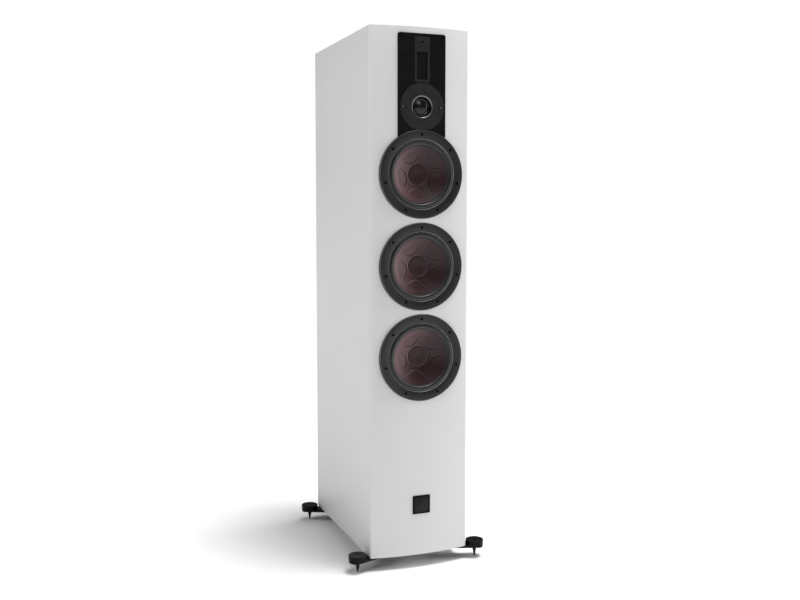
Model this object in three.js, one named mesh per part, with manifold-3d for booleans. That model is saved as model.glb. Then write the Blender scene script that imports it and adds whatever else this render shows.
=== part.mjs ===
// Floorstanding loudspeaker: a tall lacquered cabinet with three bass units, a dome and ribbon
// tweeter module, two rear ports, paired terminals and four outrigger feet with screw spikes.
// Millimetres, +Z up, the front faces -Y. The origin is on the floor, under the middle of the
// whole object. Inside this file y = 0 is the line through the cabinet's two front corners, and
// z = 0 is the cabinet's underside; the last lines move everything to the origin.
import * as THREE from "three";
import { mergeVertices } from "three/addons/utils/BufferGeometryUtils.js";
import Module from "manifold-3d";

const wasm = await Module();
wasm.setup();

// ---- clearances ----
const glueLine = 0.2; // between boards that are glued together
const seatGap = 0.3; // between a piece and the seat it rests on
const runningGap = 0.5; // round a screwed or sliding shank

// ---- cabinet ----
const cabinetWidth = 220;
const cabinetHeight = 1104;
const sideDepth = 395; // front corner to back
const frontBulge = 12.3; // how far the middle of the front stands ahead of its corners
const frontEdgeRadius = 5;
const baffleThickness = 24; // behind the front corners
const boardThickness = 20;
const rearThickness = 20;
const braceThickness = 18;
const braceFrameWidth = 22;
const braceBarWidth = 24;

// ---- bass units ----
const bassNames = ["upper", "middle", "lower"];
const ringBore = 72;
const ringBand = 19.4; // from the bore to the ring's outer edge
const ringSpacing = 8.15; // between neighbouring rings
const ringRim = 7.9; // full-depth outer part of the band
const ringProud = 2; // ahead of the middle of the front
const ringSunk = 2.2; // how deep the ring's sides are let into the curved front
const ringChamfer = 2.4;
const ringLipWidth = 1; // slanted lip at the bore
const ringLipDepth = 1.2;
const ringDish = 1.6;
const ringScrewCount = 7;
const ringScrewInset = 9.9; // from the ring's outer edge
const ringScrewRadius = 3.2;
const ringScrewDepth = 2.6;
const surroundRecess = 6.3; // from the ring's face to the plane of the surround
const rubberThickness = 0.8;
const rollWidth = 10;
const rollHeight = 4.2;
const rollClearance = 1; // from the roll to the ring's bore
const surroundGlueLip = 1.5; // inner lip, behind the cone's edge
const coneLap = 0.4; // how far the cone's edge stands over the roll
const coneDepth = 20;
const coneThickness = 1;
const coneCurve = 1.5; // exponent of the bowl: 1 would be a straight cone
const coilRadius = 17.2;
const formerThickness = 0.9;
const formerEnd = 58;
const formerGap = 0.7; // from the coil former to the spider's neck
const basketLap = 3.5; // basket flange outside the surround's lip
const basketBodyWall = 2; // basket body outside the ring's bore
const basketHoleClearance = 2;
const basketNeckRadius = 53;
const basketWall = 3;
const basketNeckDepth = 30;
const basketBack = 46;
const basketWindowCount = 6;
const basketWindowWidth = 34;
const basketShoulder = 4; // straight length behind the flange
const basketWindowStart = 6; // behind the flange
const basketWindowEnd = 4; // ahead of the neck
const basketWindowReach = 12; // how far a window's cut runs inside the neck
const basketBackMargin = 5; // from the coil to the hole in the basket's back
const spiderSeatDepth = 33;
const spiderSeatWidth = 6;
const spiderSeatShelf = 3;
const spiderWaves = 3;
const spiderWaveHeight = 1.6;
const spiderFlat = 1; // flat rim inside the seat
const magnetRadius = 48;
const magnetLength = 18;
const topPlateRadius = 45;
const topPlateThickness = 6;
const poleGap = 1.1; // between the pole and the coil former
const poleVentRadius = 4;
const plateGap = 1; // between the coil former and the top plate
const poleProud = 2; // pole ahead of the top plate
const magnetGap = 7; // between the coil and the magnet ring

// ---- tweeter module ----
const moduleDrop = 14; // from the cabinet's top to the module
const moduleMargin = 3.75; // module outside the dome's face plate
const moduleThickness = 8;
const moduleProud = 1.2; // ahead of the middle of the front
const moduleCornerRadius = 4.5;
const moduleToRingGap = 0.6;
const facePlateRadius = 48.5;
const facePlateTrim = 3.3; // cut off the face plate's lower edge
const facePlateProud = 0.8; // ahead of the module plate
const facePlateLip = 3.5;
const facePlateRebate = 9; // rim of the face plate that lies on the module
const facePlateHoleClearance = 1.5;
const facePlateBack = 11.5; // behind the module plate's face
const facePlateSlotLength = 14;
const facePlateSlotHeight = 4.5;
const facePlateSlotDepth = 1.2;
const facePlateSlotOverrun = 1;
const flareWidth = 3.5;
const throatMargin = 1.7; // from the dome's roll to the throat
const flareDepth = 2.8;
const domeRadius = 14.5;
const domeRise = 3.8;
const domeRollWidth = 4.3;
const domeRollRise = 0.9;
const domeRecess = 5.2; // from the face plate to the dome's edge
const domeShell = 0.4;
const domeFormerLength = 11;
const domeMagnetInset = 3.5; // inside the face plate's body
const domeMagnetLength = 24;
const domeGapDepth = 10;
const domeFormerInset = 0.1; // inside the dome's edge
const domePoleGap = 1.3; // from the dome's edge in to the pole
const domePlateGap = 1.1; // from the dome's edge out to the magnet
const domeSeatDepth = 1.1; // from the dome's edge back to the face plate's floor
const domeCoilGap = 1.5; // from the dome's edge out to the hole behind it
const ribbonWidth = 33.4;
const ribbonLength = 91;
const ribbonDrop = 7; // from the module's top to the ribbon's plate
const ribbonToFacePlate = 2;
const ribbonProud = 0.6;
const ribbonPlate = 3.3;
const ribbonStile = 4.7; // each side of the window
const ribbonSill = 4.9;
const ribbonWindowLength = 56.6;
const ribbonScrewDrop = 10.1; // from the plate's top to its screw
const ribbonScrewRadius = 2.6;
const foilThickness = 0.3;
const foilPleat = 1.2;
const foilPleatCount = 14;
const foilRecess = 4.5; // from the ribbon plate's face to the foil
const ribbonMagnetDepth = 22;
const ribbonMagnetInset = 0.7;
const ribbonMagnetClearance = 2;
const ribbonMagnetEnd = 6; // shorter than the plate at each end
const magnetChannelDepth = 8;
const magnetChannelInset = 1; // inside the window's sides
const ribbonMagnetGap = 1; // behind the module plate

// ---- badge ----
const badgeSize = 39;
const badgeThickness = 1.5;
const badgeHeight = 108.7;
const badgeBorder = 3;
const badgePanelDepth = 0.4;

// ---- feet ----
const groundClearance = 28.3;
const footOutset = 25.2; // foot centre outside the cabinet's side
const frontFootDepth = 9.2;
const rearFootInset = 14.8; // ahead of the cabinet's back
const footSplay = THREE.MathUtils.degToRad(22); // arm's angle from straight sideways
const armLength = 112;
const armThickness = 5.8;
const armNeckWidth = 27;
const armRootWidth = 42;
const armBossRadius = 19;
const armScrewRadius = 2.6;
const armScrewInset = 9; // from the root's sides
const armScrewSetback = 12; // from the root's end
const knobRadius = 19.4;
const knobThickness = 9.5;
const knobEdge = 0.8;
const knobBoreDepth = 6;
const spikeRadius = 5;
const spikeTipRadius = 0.9;
const spikeShankBelow = 2; // straight length under the arm
const spikeTopGap = 0.3;

// ---- rear ----
const portNames = ["upper", "lower"];
const portToTerminal = 8; // from the terminal plate to the lower port's flange
const portThroat = 31;
const portWall = 3;
const portFlareWidth = 11;
const portFlangeWidth = 7;
const portLip = 1.5; // collar behind the flange
const portHoleClearance = 1;
const portFlangeThickness = 3;
const portFlareLength = 22;
const portLipLength = 3;
const portInnerFlare = 2.5;
const portInnerFlareLength = 4;
const portLength = 120;
const terminalHeight = 168;
const terminalWidth = 112;
const terminalTall = 92;
const terminalThickness = 3;
const terminalCornerRadius = 6;
const terminalCutMargin = 14;
const postSpacingX = 44;
const postSpacingZ = 34;
const postRadius = 7.6;
const postLength = 18;
const postEdge = 1;
const studRadius = 2.9;
const studTail = 9; // behind the plate
const studEndInset = 2; // inside the post's end
const jumperWidth = 11;
const jumperThickness = 1.4;

// ---- crossover and wiring ----
const boardWidth = 140;
const boardTall = 150;
const boardSheet = 2;
const boardLift = 5; // above the cabinet's floor
const boardSetback = 26; // from the rear panel's inner face
const pillarRadius = 4;
const pillarInset = 10; // from the board's edges
const inductorDrop = 38; // below the board's middle
const capacitorRise = 36; // above the board's middle
const coilOuter = 26;
const coilInner = 9;
const coilTall = 20;
const capacitorRadius = 15;
const capacitorLength = 46;
const loomRadius = 4;
const loomBranchRadius = 2.5;
const loomX = 52;
const loomY = 100;
const loomRise = 20; // above the board before it turns up
const loomDrop = 40; // from a branch's end down to where it leaves the trunk
const loomTagGap = 3;
const loomBoardGap = 1.2; // from the board's face to the loom's end
const loomBoardDrop = 12; // below the board's top edge
const loomKnuckle = 0.6; // how much wider the bends are than the loom
const loomTagInset = 6; // ahead of the basket's back
const loomHeadX = 20; // end of the tweeters' branch
const loomHeadY = 48;
const loomHeadRise = 50; // above the dome

// ---- facets and cutters ----
const overshoot = 5; // how far a cutter runs past the face it cuts
const fine = 32;
const medium = 24;
const coarse = 16;
const small = 8;
const screwFacets = 10;

// ---- places worked out from the sizes above ----
const halfWidth = cabinetWidth / 2;
const frontArcRadius = (halfWidth ** 2 + frontBulge ** 2) / (2 * frontBulge);
const frontArcCentre = frontArcRadius - frontBulge;
const frontFace = (x) => frontArcCentre - Math.sqrt(frontArcRadius ** 2 - x ** 2);
const moduleTop = cabinetHeight - moduleDrop;
const ribbonTop = moduleTop - ribbonDrop;
const ribbonBottom = ribbonTop - ribbonLength;
const ribbonWindowWidth = ribbonWidth - 2 * ribbonStile;
const ribbonWindowBottom = ribbonBottom + ribbonSill;
const ribbonWindowTop = ribbonWindowBottom + ribbonWindowLength;
const ribbonScrewHeight = ribbonTop - ribbonScrewDrop;
const ribbonMagnetWidth = ribbonWidth - 2 * ribbonMagnetInset;
const moduleWidth = 2 * (facePlateRadius + moduleMargin);
const facePlateFlat = facePlateRadius - facePlateTrim;
const facePlateBody = facePlateRadius - facePlateRebate;
const domeHeight = ribbonBottom - ribbonToFacePlate - facePlateRadius;
const domeEdge = domeRadius + domeRollWidth;
const throatRadius = domeEdge + throatMargin;
const flareRadius = throatRadius + flareWidth;
const domeMagnetRadius = facePlateBody - domeMagnetInset;
const ringRadius = ringBore + ringBand;
const ringScrewCircle = ringRadius - ringScrewInset;
const bassPitch = 2 * ringRadius + ringSpacing;
const topBassHeight = domeHeight - facePlateFlat - seatGap - moduleToRingGap - ringRadius;
const rollOuter = ringBore - rollClearance;
const rollInner = rollOuter - rollWidth;
const surroundLipInner = rollInner - surroundGlueLip;
const coneRadius = rollInner + coneLap;
const basketFlangeRadius = ringRadius - ringRim;
const surroundLipOuter = basketFlangeRadius - basketLap;
const basketFlangeBore = ringBore - rollClearance / 2;
const basketBodyRadius = ringBore + basketBodyWall;
const spiderSeatBore = basketNeckRadius - basketWall - spiderSeatWidth;
const poleRadius = coilRadius - formerThickness - poleGap;
const ringFront = -frontBulge - ringProud;
const ringSeat = frontFace(ringRadius) + ringSunk;
const surroundPlane = ringFront + surroundRecess;
const coneEdge = surroundPlane + rubberThickness + seatGap;
const basketFront = surroundPlane + rubberThickness + seatGap;
const magnetFront = basketBack + seatGap;
const moduleFace = -frontBulge - moduleProud;
const facePlateFace = moduleFace - facePlateProud;
const facePlateSeat = facePlateFace + facePlateLip;
const ribbonFace = moduleFace - ribbonProud;
const ribbonSeat = ribbonFace + ribbonPlate;
const rearFace = sideDepth;
const rearInner = sideDepth - rearThickness;
const terminalFace = rearFace + seatGap + terminalThickness;
const postBack = terminalFace + seatGap + jumperThickness + seatGap;
const bassHeights = bassNames.map((name, i) => topBassHeight - i * bassPitch);
const portMouth = portThroat + portFlareWidth;
const portFlange = portMouth + portFlangeWidth;
const terminalTop = terminalHeight + terminalTall / 2;
const portHeights = [bassHeights[1], terminalTop + portToTerminal + portFlange];
const rearFootDepth = sideDepth - rearFootInset;
const boardHeight = boardThickness + boardLift + boardTall / 2;
const frontReach = Math.max(-ringFront, -facePlateFace, knobRadius - frontFootDepth);
const rearReach = Math.max(postBack + postLength, rearFootDepth + knobRadius);

// ---- finishes ----
const finish = (color, roughness, metalness = 0) =>
  new THREE.MeshStandardMaterial({ color, roughness, metalness });
const lacquer = () => finish(0xe4e4e6, 0.25);
const rawBoard = () => finish(0xb08d62, 0.85);
const castAlloy = () => finish(0x3a3a3c, 0.5, 0.6);
const ringBlack = () => finish(0x2e2e31, 0.45);
const rubber = () => finish(0x121214, 0.7);
const woodFibre = () => finish(0x4b383a, 0.8);
const spiderCloth = () => finish(0xa57c3a, 0.9);
const ferrite = () => finish(0x24242a, 0.6, 0.3);
const moduleBlack = () => finish(0x1a1a1c, 0.5);
const facePlateGrey = () => finish(0x2d2d30, 0.4, 0.4);
const silk = () => finish(0x0b0b0c, 0.55);
const foilMetal = () => finish(0x9a9a9c, 0.3, 1);
const footBlack = () => finish(0x0e0e10, 0.2, 0.3);
const portPlastic = () => finish(0x161618, 0.6);
const contactGold = () => finish(0xc9a24a, 0.25, 1);
const postClear = () => finish(0x202022, 0.3);
const boardGreen = () => finish(0x2f5a3c, 0.7);
const copper = () => finish(0xb06a3a, 0.4, 0.9);
const sleeve = () => finish(0x2a2a2c, 0.6);

// ---- solid helpers ----
function solidOf(geometry) {
  const bare = geometry.clone();
  bare.deleteAttribute("normal");
  bare.deleteAttribute("uv");
  const merged = mergeVertices(bare, 1e-4);
  const mesh = new wasm.Mesh({
    numProp: 3,
    vertProperties: new Float32Array(merged.attributes.position.array),
    triVerts: new Uint32Array(merged.index.array),
  });
  return new wasm.Manifold(mesh);
}

function geometryOf(solid) {
  const mesh = solid.getMesh();
  const geometry = new THREE.BufferGeometry();
  geometry.setAttribute("position", new THREE.BufferAttribute(mesh.vertProperties, 3));
  geometry.setIndex(new THREE.BufferAttribute(mesh.triVerts, 1));
  const flat = geometry.toNonIndexed();
  flat.computeVertexNormals();
  return flat;
}

function cut(geometry, cutters) {
  let solid = solidOf(geometry);
  for (const cutter of cutters) {
    solid = solid.subtract(solidOf(cutter));
  }
  return geometryOf(solid);
}

function join(geometries) {
  let solid = solidOf(geometries[0]);
  for (const piece of geometries.slice(1)) {
    solid = solid.add(solidOf(piece));
  }
  return geometryOf(solid);
}

// A turned piece about the Y axis. The profile is a list of [radius, y] that closes on itself or
// starts and ends on the axis, and it may run either way round.
function turned(profile, segments) {
  const points = profile.map(([radius, y]) => new THREE.Vector2(radius, y));
  const last = points[points.length - 1];
  const onAxis = points[0].x === 0 && last.x === 0;
  if (!onAxis) {
    points.push(points[0].clone());
  }
  if (THREE.ShapeUtils.area(points) < 0) {
    points.reverse();
  }
  return new THREE.LatheGeometry(points, segments);
}

// A box by its lowest and highest corners.
function block(low, high) {
  const size = high.map((value, i) => value - low[i]);
  const box = new THREE.BoxGeometry(...size);
  return box.translate(...low.map((value, i) => value + size[i] / 2));
}

// A cylinder along Y from y = from to y = to, centred on x and z.
function rodAlongY(radius, from, to, x, z, segments) {
  const rod = new THREE.CylinderGeometry(radius, radius, to - from, segments);
  return rod.translate(x, (from + to) / 2, z);
}

// A cylinder along Z.
function rodAlongZ(radius, from, to, x, y, segments) {
  const rod = new THREE.CylinderGeometry(radius, radius, to - from, segments);
  rod.rotateX(Math.PI / 2);
  return rod.translate(x, y, (from + to) / 2);
}

// An outline in (x, z) made into a plate whose front is at y = front.
function frontPlate(shape, front, thickness, curveSegments = small) {
  const plate = new THREE.ExtrudeGeometry(shape, {
    depth: thickness,
    bevelEnabled: false,
    curveSegments,
  });
  plate.rotateX(Math.PI / 2);
  return plate.translate(0, front + thickness, 0);
}

function roundedRectangle(width, low, high, radius) {
  const half = width / 2;
  const shape = new THREE.Shape();
  shape.moveTo(-half + radius, low);
  shape.lineTo(half - radius, low);
  shape.absarc(half - radius, low + radius, radius, -Math.PI / 2, 0, false);
  shape.absarc(half - radius, high - radius, radius, 0, Math.PI / 2, false);
  shape.absarc(-half + radius, high - radius, radius, Math.PI / 2, Math.PI, false);
  shape.absarc(-half + radius, low + radius, radius, Math.PI, 1.5 * Math.PI, false);
  return shape;
}

function rectangle(width, low, high) {
  const half = width / 2;
  return new THREE.Shape([
    new THREE.Vector2(-half, low),
    new THREE.Vector2(half, low),
    new THREE.Vector2(half, high),
    new THREE.Vector2(-half, high),
  ]);
}

const speaker = new THREE.Group();
const standing = new THREE.Group();
speaker.add(standing);

function place(name, geometry, material, x = 0, y = 0, z = 0) {
  const mesh = new THREE.Mesh(geometry, material);
  mesh.name = name;
  mesh.position.set(x, y, z);
  standing.add(mesh);
  return mesh;
}

// ---- cabinet boards ----
function baffleOutline() {
  const r = frontEdgeRadius;
  const edgeX = halfWidth - r;
  const edgeY = frontArcCentre - Math.sqrt((frontArcRadius - r) ** 2 - edgeX ** 2);
  const edgeAngle = Math.atan2(edgeY - frontArcCentre, edgeX);
  const shape = new THREE.Shape();
  shape.moveTo(-halfWidth, baffleThickness);
  shape.lineTo(-halfWidth, edgeY);
  shape.absarc(-edgeX, edgeY, r, Math.PI, 2 * Math.PI - (Math.PI + edgeAngle), false);
  shape.absarc(0, frontArcCentre, frontArcRadius, -Math.PI - edgeAngle, edgeAngle, false);
  shape.absarc(edgeX, edgeY, r, edgeAngle, 0, false);
  shape.lineTo(halfWidth, baffleThickness);
  return shape;
}

function frontBaffle() {
  const board = new THREE.ExtrudeGeometry(baffleOutline(), {
    depth: cabinetHeight,
    bevelEnabled: false,
    curveSegments: medium / 2,
  });
  const ahead = ringFront - overshoot;
  const behind = baffleThickness + overshoot;
  const cutters = [];
  for (const z of bassHeights) {
    const recess = ringRadius + moduleToRingGap;
    cutters.push(rodAlongY(recess, ahead, ringSeat, 0, z, fine));
    cutters.push(rodAlongY(basketBodyRadius + basketHoleClearance, ahead, behind, 0, z, fine));
  }
  const pocketShape = rectangle(moduleWidth + 2 * seatGap, bassHeights[0], moduleTop + seatGap);
  const pocketFloor = moduleFace + moduleThickness + seatGap;
  cutters.push(frontPlate(pocketShape, ahead, pocketFloor - ahead));
  const domeHole = facePlateBody + facePlateHoleClearance;
  cutters.push(rodAlongY(domeHole, ahead, behind, 0, domeHeight, coarse));
  const holeEnd = ribbonMagnetEnd - ribbonMagnetClearance;
  const magnetHole = rectangle(
    ribbonMagnetWidth + 2 * ribbonMagnetClearance,
    ribbonBottom + holeEnd,
    ribbonTop - holeEnd,
  );
  cutters.push(frontPlate(magnetHole, ahead, behind - ahead));
  return cut(board, cutters);
}

function rearPanel() {
  const cutters = [];
  for (const z of portHeights) {
    const hole = portMouth + portLip + portHoleClearance;
    cutters.push(rodAlongY(hole, rearInner - overshoot, rearFace + overshoot, 0, z, medium));
  }
  const cutHalf = terminalWidth / 2 - terminalCutMargin;
  const cutTall = terminalTall / 2 - terminalCutMargin;
  const cutLow = [-cutHalf, rearInner - overshoot, terminalHeight - cutTall];
  const cutHigh = [cutHalf, rearFace + overshoot, terminalHeight + cutTall];
  cutters.push(block(cutLow, cutHigh));
  const board = block([-halfWidth, rearInner, 0], [halfWidth, rearFace, cabinetHeight]);
  return cut(board, cutters);
}

const innerHalf = halfWidth - boardThickness;
const boardFront = baffleThickness + glueLine;
const boardRear = rearInner - glueLine;

function buildCabinet() {
  place("front_baffle", frontBaffle(), lacquer());
  place("rear_panel", rearPanel(), lacquer());
  for (const [side, sign] of [["left", -1], ["right", 1]]) {
    const x = sign * (halfWidth - boardThickness / 2);
    const panel = new THREE.BoxGeometry(boardThickness, boardRear - boardFront, cabinetHeight);
    place(`side_panel_${side}`, panel, lacquer(), x, (boardFront + boardRear) / 2, cabinetHeight / 2);
  }
  const lidWidth = 2 * (innerHalf - glueLine);
  const boardMiddles = [["top_panel", cabinetHeight - boardThickness / 2], ["bottom_panel", boardThickness / 2]];
  for (const [name, z] of boardMiddles) {
    const panel = new THREE.BoxGeometry(lidWidth, boardRear - boardFront, boardThickness);
    place(name, panel, lacquer(), 0, (boardFront + boardRear) / 2, z);
  }
}

// A brace is a board across the cabinet with two windows, one each side of its middle bar.
function brace() {
  const half = innerHalf - glueLine;
  const outline = new THREE.Shape([
    new THREE.Vector2(-half, boardFront),
    new THREE.Vector2(half, boardFront),
    new THREE.Vector2(half, boardRear),
    new THREE.Vector2(-half, boardRear),
  ]);
  const middle = (boardFront + boardRear) / 2;
  const stops = [boardFront + braceFrameWidth, middle - braceBarWidth / 2];
  const mirrored = [middle + braceBarWidth / 2, boardRear - braceFrameWidth];
  for (const [from, to] of [stops, mirrored]) {
    const x = half - braceFrameWidth;
    const window = [
      new THREE.Vector2(-x, from),
      new THREE.Vector2(-x, to),
      new THREE.Vector2(x, to),
      new THREE.Vector2(x, from),
    ];
    outline.holes.push(new THREE.Path(window));
  }
  return new THREE.ExtrudeGeometry(outline, { depth: braceThickness, bevelEnabled: false });
}

function buildBraces() {
  ["brace_upper", "brace_lower"].forEach((name, i) => {
    const between = (bassHeights[i] + bassHeights[i + 1]) / 2;
    place(name, brace(), rawBoard(), 0, 0, between - braceThickness / 2);
  });
}

// ---- bass units ----
// The bowl of the cone: depth falls off with the radius to a power.
const bowl = (radius) => coneEdge + coneDepth * (1 - (radius / coneRadius) ** coneCurve);

function trimRing() {
  const back = ringSeat - seatGap;
  const lipBack = surroundPlane - seatGap;
  const stepRadius = basketFlangeRadius + seatGap;
  const profile = [
    [ringBore, lipBack],
    [ringBore, ringFront + ringDish + ringLipDepth],
    [ringBore + ringLipWidth, ringFront + ringDish],
    [ringRadius - ringChamfer, ringFront],
    [ringRadius, ringFront + ringChamfer],
    [ringRadius, back],
    [stepRadius, back],
    [stepRadius, lipBack],
  ];
  const cutters = [];
  for (let i = 0; i < ringScrewCount; i += 1) {
    const angle = Math.PI / 2 + (i * 2 * Math.PI) / ringScrewCount;
    const x = ringScrewCircle * Math.cos(angle);
    const z = ringScrewCircle * Math.sin(angle);
    const floor = ringFront + ringDish / 2 + ringScrewDepth;
    cutters.push(rodAlongY(ringScrewRadius, ringFront - overshoot, floor, x, z, screwFacets));
  }
  return cut(turned(profile, fine), cutters);
}

function surround() {
  const steps = 4;
  const middle = (rollInner + rollOuter) / 2;
  const outer = [];
  const inner = [];
  for (let i = 0; i <= steps; i += 1) {
    const angle = (i * Math.PI) / steps;
    const half = (rollOuter - rollInner) / 2;
    const spread = Math.cos(angle);
    const rise = Math.sin(angle);
    outer.push([middle - half * spread, surroundPlane - rollHeight * rise]);
    const thin = half - rubberThickness;
    const under = surroundPlane + rubberThickness - rollHeight * rise;
    inner.push([middle - thin * spread, under]);
  }
  const back = surroundPlane + rubberThickness;
  const profile = [
    [surroundLipInner, surroundPlane],
    ...outer,
    [surroundLipOuter, surroundPlane],
    [surroundLipOuter, back],
    ...inner.reverse(),
    [surroundLipInner, back],
  ];
  return turned(profile, medium);
}

function cone() {
  const steps = 4;
  const front = [];
  for (let i = 0; i <= steps; i += 1) {
    const radius = (coneRadius * i) / steps;
    front.push([radius, bowl(radius)]);
  }
  const innerCoil = coilRadius - formerThickness;
  const profile = [
    ...front,
    [coneRadius, coneEdge + coneThickness],
    [coneRadius / 2, bowl(coneRadius / 2) + coneThickness],
    [coilRadius, bowl(coilRadius) + coneThickness],
    [coilRadius, formerEnd],
    [innerCoil, formerEnd],
    [innerCoil, bowl(innerCoil) + coneThickness],
    [0, bowl(0) + coneThickness],
  ];
  return turned(profile, medium);
}

function spider() {
  const inner = coilRadius + formerGap;
  const outer = basketNeckRadius - basketWall - seatGap;
  const flatFrom = spiderSeatBore - spiderFlat;
  const plane = spiderSeatDepth - seatGap - rubberThickness;
  const front = [];
  const steps = spiderWaves * 2;
  for (let i = 0; i <= steps; i += 1) {
    const radius = inner + ((flatFrom - inner) * i) / steps;
    const wave = i % 2 === 0 ? 0 : spiderWaveHeight;
    front.push([radius, plane - wave]);
  }
  const back = front.map(([radius, y]) => [radius, y + rubberThickness]);
  const profile = [
    ...front,
    [outer, plane],
    [outer, plane + rubberThickness],
    ...back.reverse(),
  ];
  return turned(profile, coarse);
}

function basket() {
  const flangeBack = ringSeat - seatGap;
  const neckInner = basketNeckRadius - basketWall;
  const shelf = spiderSeatShelf;
  const profile = [
    [basketFlangeBore, basketFront],
    [basketFlangeRadius, basketFront],
    [basketFlangeRadius, flangeBack],
    [basketBodyRadius, flangeBack],
    [basketBodyRadius, flangeBack + basketShoulder],
    [basketNeckRadius, basketNeckDepth],
    [basketNeckRadius, basketBack],
    [coilRadius + basketBackMargin, basketBack],
    [coilRadius + basketBackMargin, basketBack - basketWall],
    [neckInner, basketBack - basketWall],
    [neckInner, spiderSeatDepth + shelf],
    [spiderSeatBore, spiderSeatDepth + shelf],
    [spiderSeatBore, spiderSeatDepth],
    [neckInner, spiderSeatDepth],
    [neckInner, basketNeckDepth],
    [basketFlangeBore, flangeBack + basketShoulder],
  ];
  const cutters = [];
  for (let i = 0; i < basketWindowCount; i += 1) {
    const half = basketWindowWidth / 2;
    const low = [neckInner - basketWindowReach, flangeBack + basketWindowStart, -half];
    const high = [basketBodyRadius + overshoot, basketNeckDepth - basketWindowEnd, half];
    const window = block(low, high);
    window.rotateY((i * 2 * Math.PI) / basketWindowCount);
    cutters.push(window);
  }
  return cut(turned(profile, coarse), cutters);
}

function magnet() {
  const plateBack = magnetFront + topPlateThickness;
  const ringBack = plateBack + magnetLength;
  const gapOuter = coilRadius + plateGap;
  const profile = [
    [poleVentRadius, magnetFront - poleProud],
    [poleRadius, magnetFront - poleProud],
    [poleRadius, ringBack],
    [coilRadius + magnetGap, ringBack],
    [coilRadius + magnetGap, plateBack],
    [gapOuter, plateBack],
    [gapOuter, magnetFront],
    [topPlateRadius, magnetFront],
    [topPlateRadius, plateBack],
    [magnetRadius, plateBack],
    [magnetRadius, ringBack],
    [topPlateRadius, ringBack],
    [topPlateRadius, ringBack + topPlateThickness],
    [poleVentRadius, ringBack + topPlateThickness],
  ];
  return turned(profile, coarse);
}

function buildBassUnits() {
  bassNames.forEach((name, i) => {
    const z = bassHeights[i];
    place(`trim_ring_${name}`, trimRing(), ringBlack(), 0, 0, z);
    place(`surround_${name}`, surround(), rubber(), 0, 0, z);
    place(`cone_${name}`, cone(), woodFibre(), 0, 0, z);
    place(`spider_${name}`, spider(), spiderCloth(), 0, 0, z);
    place(`basket_${name}`, basket(), castAlloy(), 0, 0, z);
    place(`magnet_${name}`, magnet(), ferrite(), 0, 0, z);
  });
}

// ---- tweeter module ----
function modulePlate() {
  const half = moduleWidth / 2;
  const hollow = ringRadius + moduleToRingGap;
  const corner = moduleCornerRadius;
  const meet = Math.asin(half / hollow);
  const shape = new THREE.Shape();
  shape.absarc(0, bassHeights[0], hollow, Math.PI / 2 + meet, Math.PI / 2 - meet, true);
  shape.absarc(half - corner, moduleTop - corner, corner, 0, Math.PI / 2, false);
  shape.absarc(-half + corner, moduleTop - corner, corner, Math.PI / 2, Math.PI, false);
  const plate = frontPlate(shape, moduleFace, moduleThickness);
  const ahead = moduleFace - overshoot;
  const behind = moduleFace + moduleThickness + overshoot;
  const ribbonSeatShape = rectangle(
    ribbonWidth + 2 * seatGap,
    ribbonBottom - seatGap,
    ribbonTop + seatGap,
  );
  const ribbonOpening = rectangle(ribbonWindowWidth, ribbonWindowBottom, ribbonWindowTop);
  const facePlateFloor = facePlateSeat + seatGap;
  const ribbonFloor = ribbonSeat + seatGap;
  return cut(plate, [
    rodAlongY(facePlateRadius + seatGap, ahead, facePlateFloor, 0, domeHeight, fine),
    rodAlongY(facePlateBody + seatGap, ahead, behind, 0, domeHeight, fine),
    frontPlate(ribbonSeatShape, ahead, ribbonFloor - ahead),
    frontPlate(ribbonOpening, ahead, behind - ahead),
  ]);
}

function domeFacePlate() {
  const throatFloor = facePlateFace + domeRecess + domeSeatDepth;
  const back = moduleFace + facePlateBack;
  const profile = [
    [throatRadius, facePlateFace + flareDepth],
    [flareRadius, facePlateFace],
    [facePlateRadius, facePlateFace],
    [facePlateRadius, facePlateSeat],
    [facePlateBody, facePlateSeat],
    [facePlateBody, back],
    [domeRadius + domeCoilGap, back],
    [domeRadius + domeCoilGap, throatFloor],
    [throatRadius - seatGap, throatFloor],
  ];
  const reach = facePlateRadius + overshoot;
  const cutLow = [-reach, facePlateFace - overshoot, -reach];
  const cutHigh = [reach, back + overshoot, -facePlateFlat];
  const cutters = [block(cutLow, cutHigh)];
  for (const sign of [-1, 1]) {
    const middle = sign * (facePlateRadius - facePlateSlotLength / 2);
    const centre = middle + sign * facePlateSlotOverrun;
    const slotHalf = facePlateSlotLength / 2 + facePlateSlotOverrun;
    const slotFloor = facePlateFace + facePlateSlotDepth;
    const rise = facePlateSlotHeight / 2;
    const low = [centre - slotHalf, facePlateFace - overshoot, -rise];
    const high = [centre + slotHalf, slotFloor, rise];
    cutters.push(block(low, high));
  }
  return cut(turned(profile, fine), cutters);
}

function domeDiaphragm() {
  const edge = facePlateFace + domeRecess;
  const former = domeRadius - domeFormerInset;
  const steps = 3;
  const front = [];
  const back = [];
  for (let i = 0; i <= steps; i += 1) {
    const share = i / steps;
    const rise = domeRise * (1 - share ** 2);
    front.push([domeRadius * share, edge - rise]);
    back.push([(former - domeShell) * share, edge - rise + domeShell]);
  }
  const rollMiddle = (domeRadius + domeEdge) / 2;
  const profile = [
    ...front,
    [rollMiddle, edge - domeRollRise],
    [domeEdge, edge],
    [domeEdge, edge + domeShell],
    [rollMiddle, edge - domeRollRise + domeShell],
    [former, edge + domeShell],
    [former, edge + domeFormerLength],
    [former - domeShell, edge + domeFormerLength],
    ...back.reverse(),
  ];
  return turned(profile, medium);
}

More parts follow.
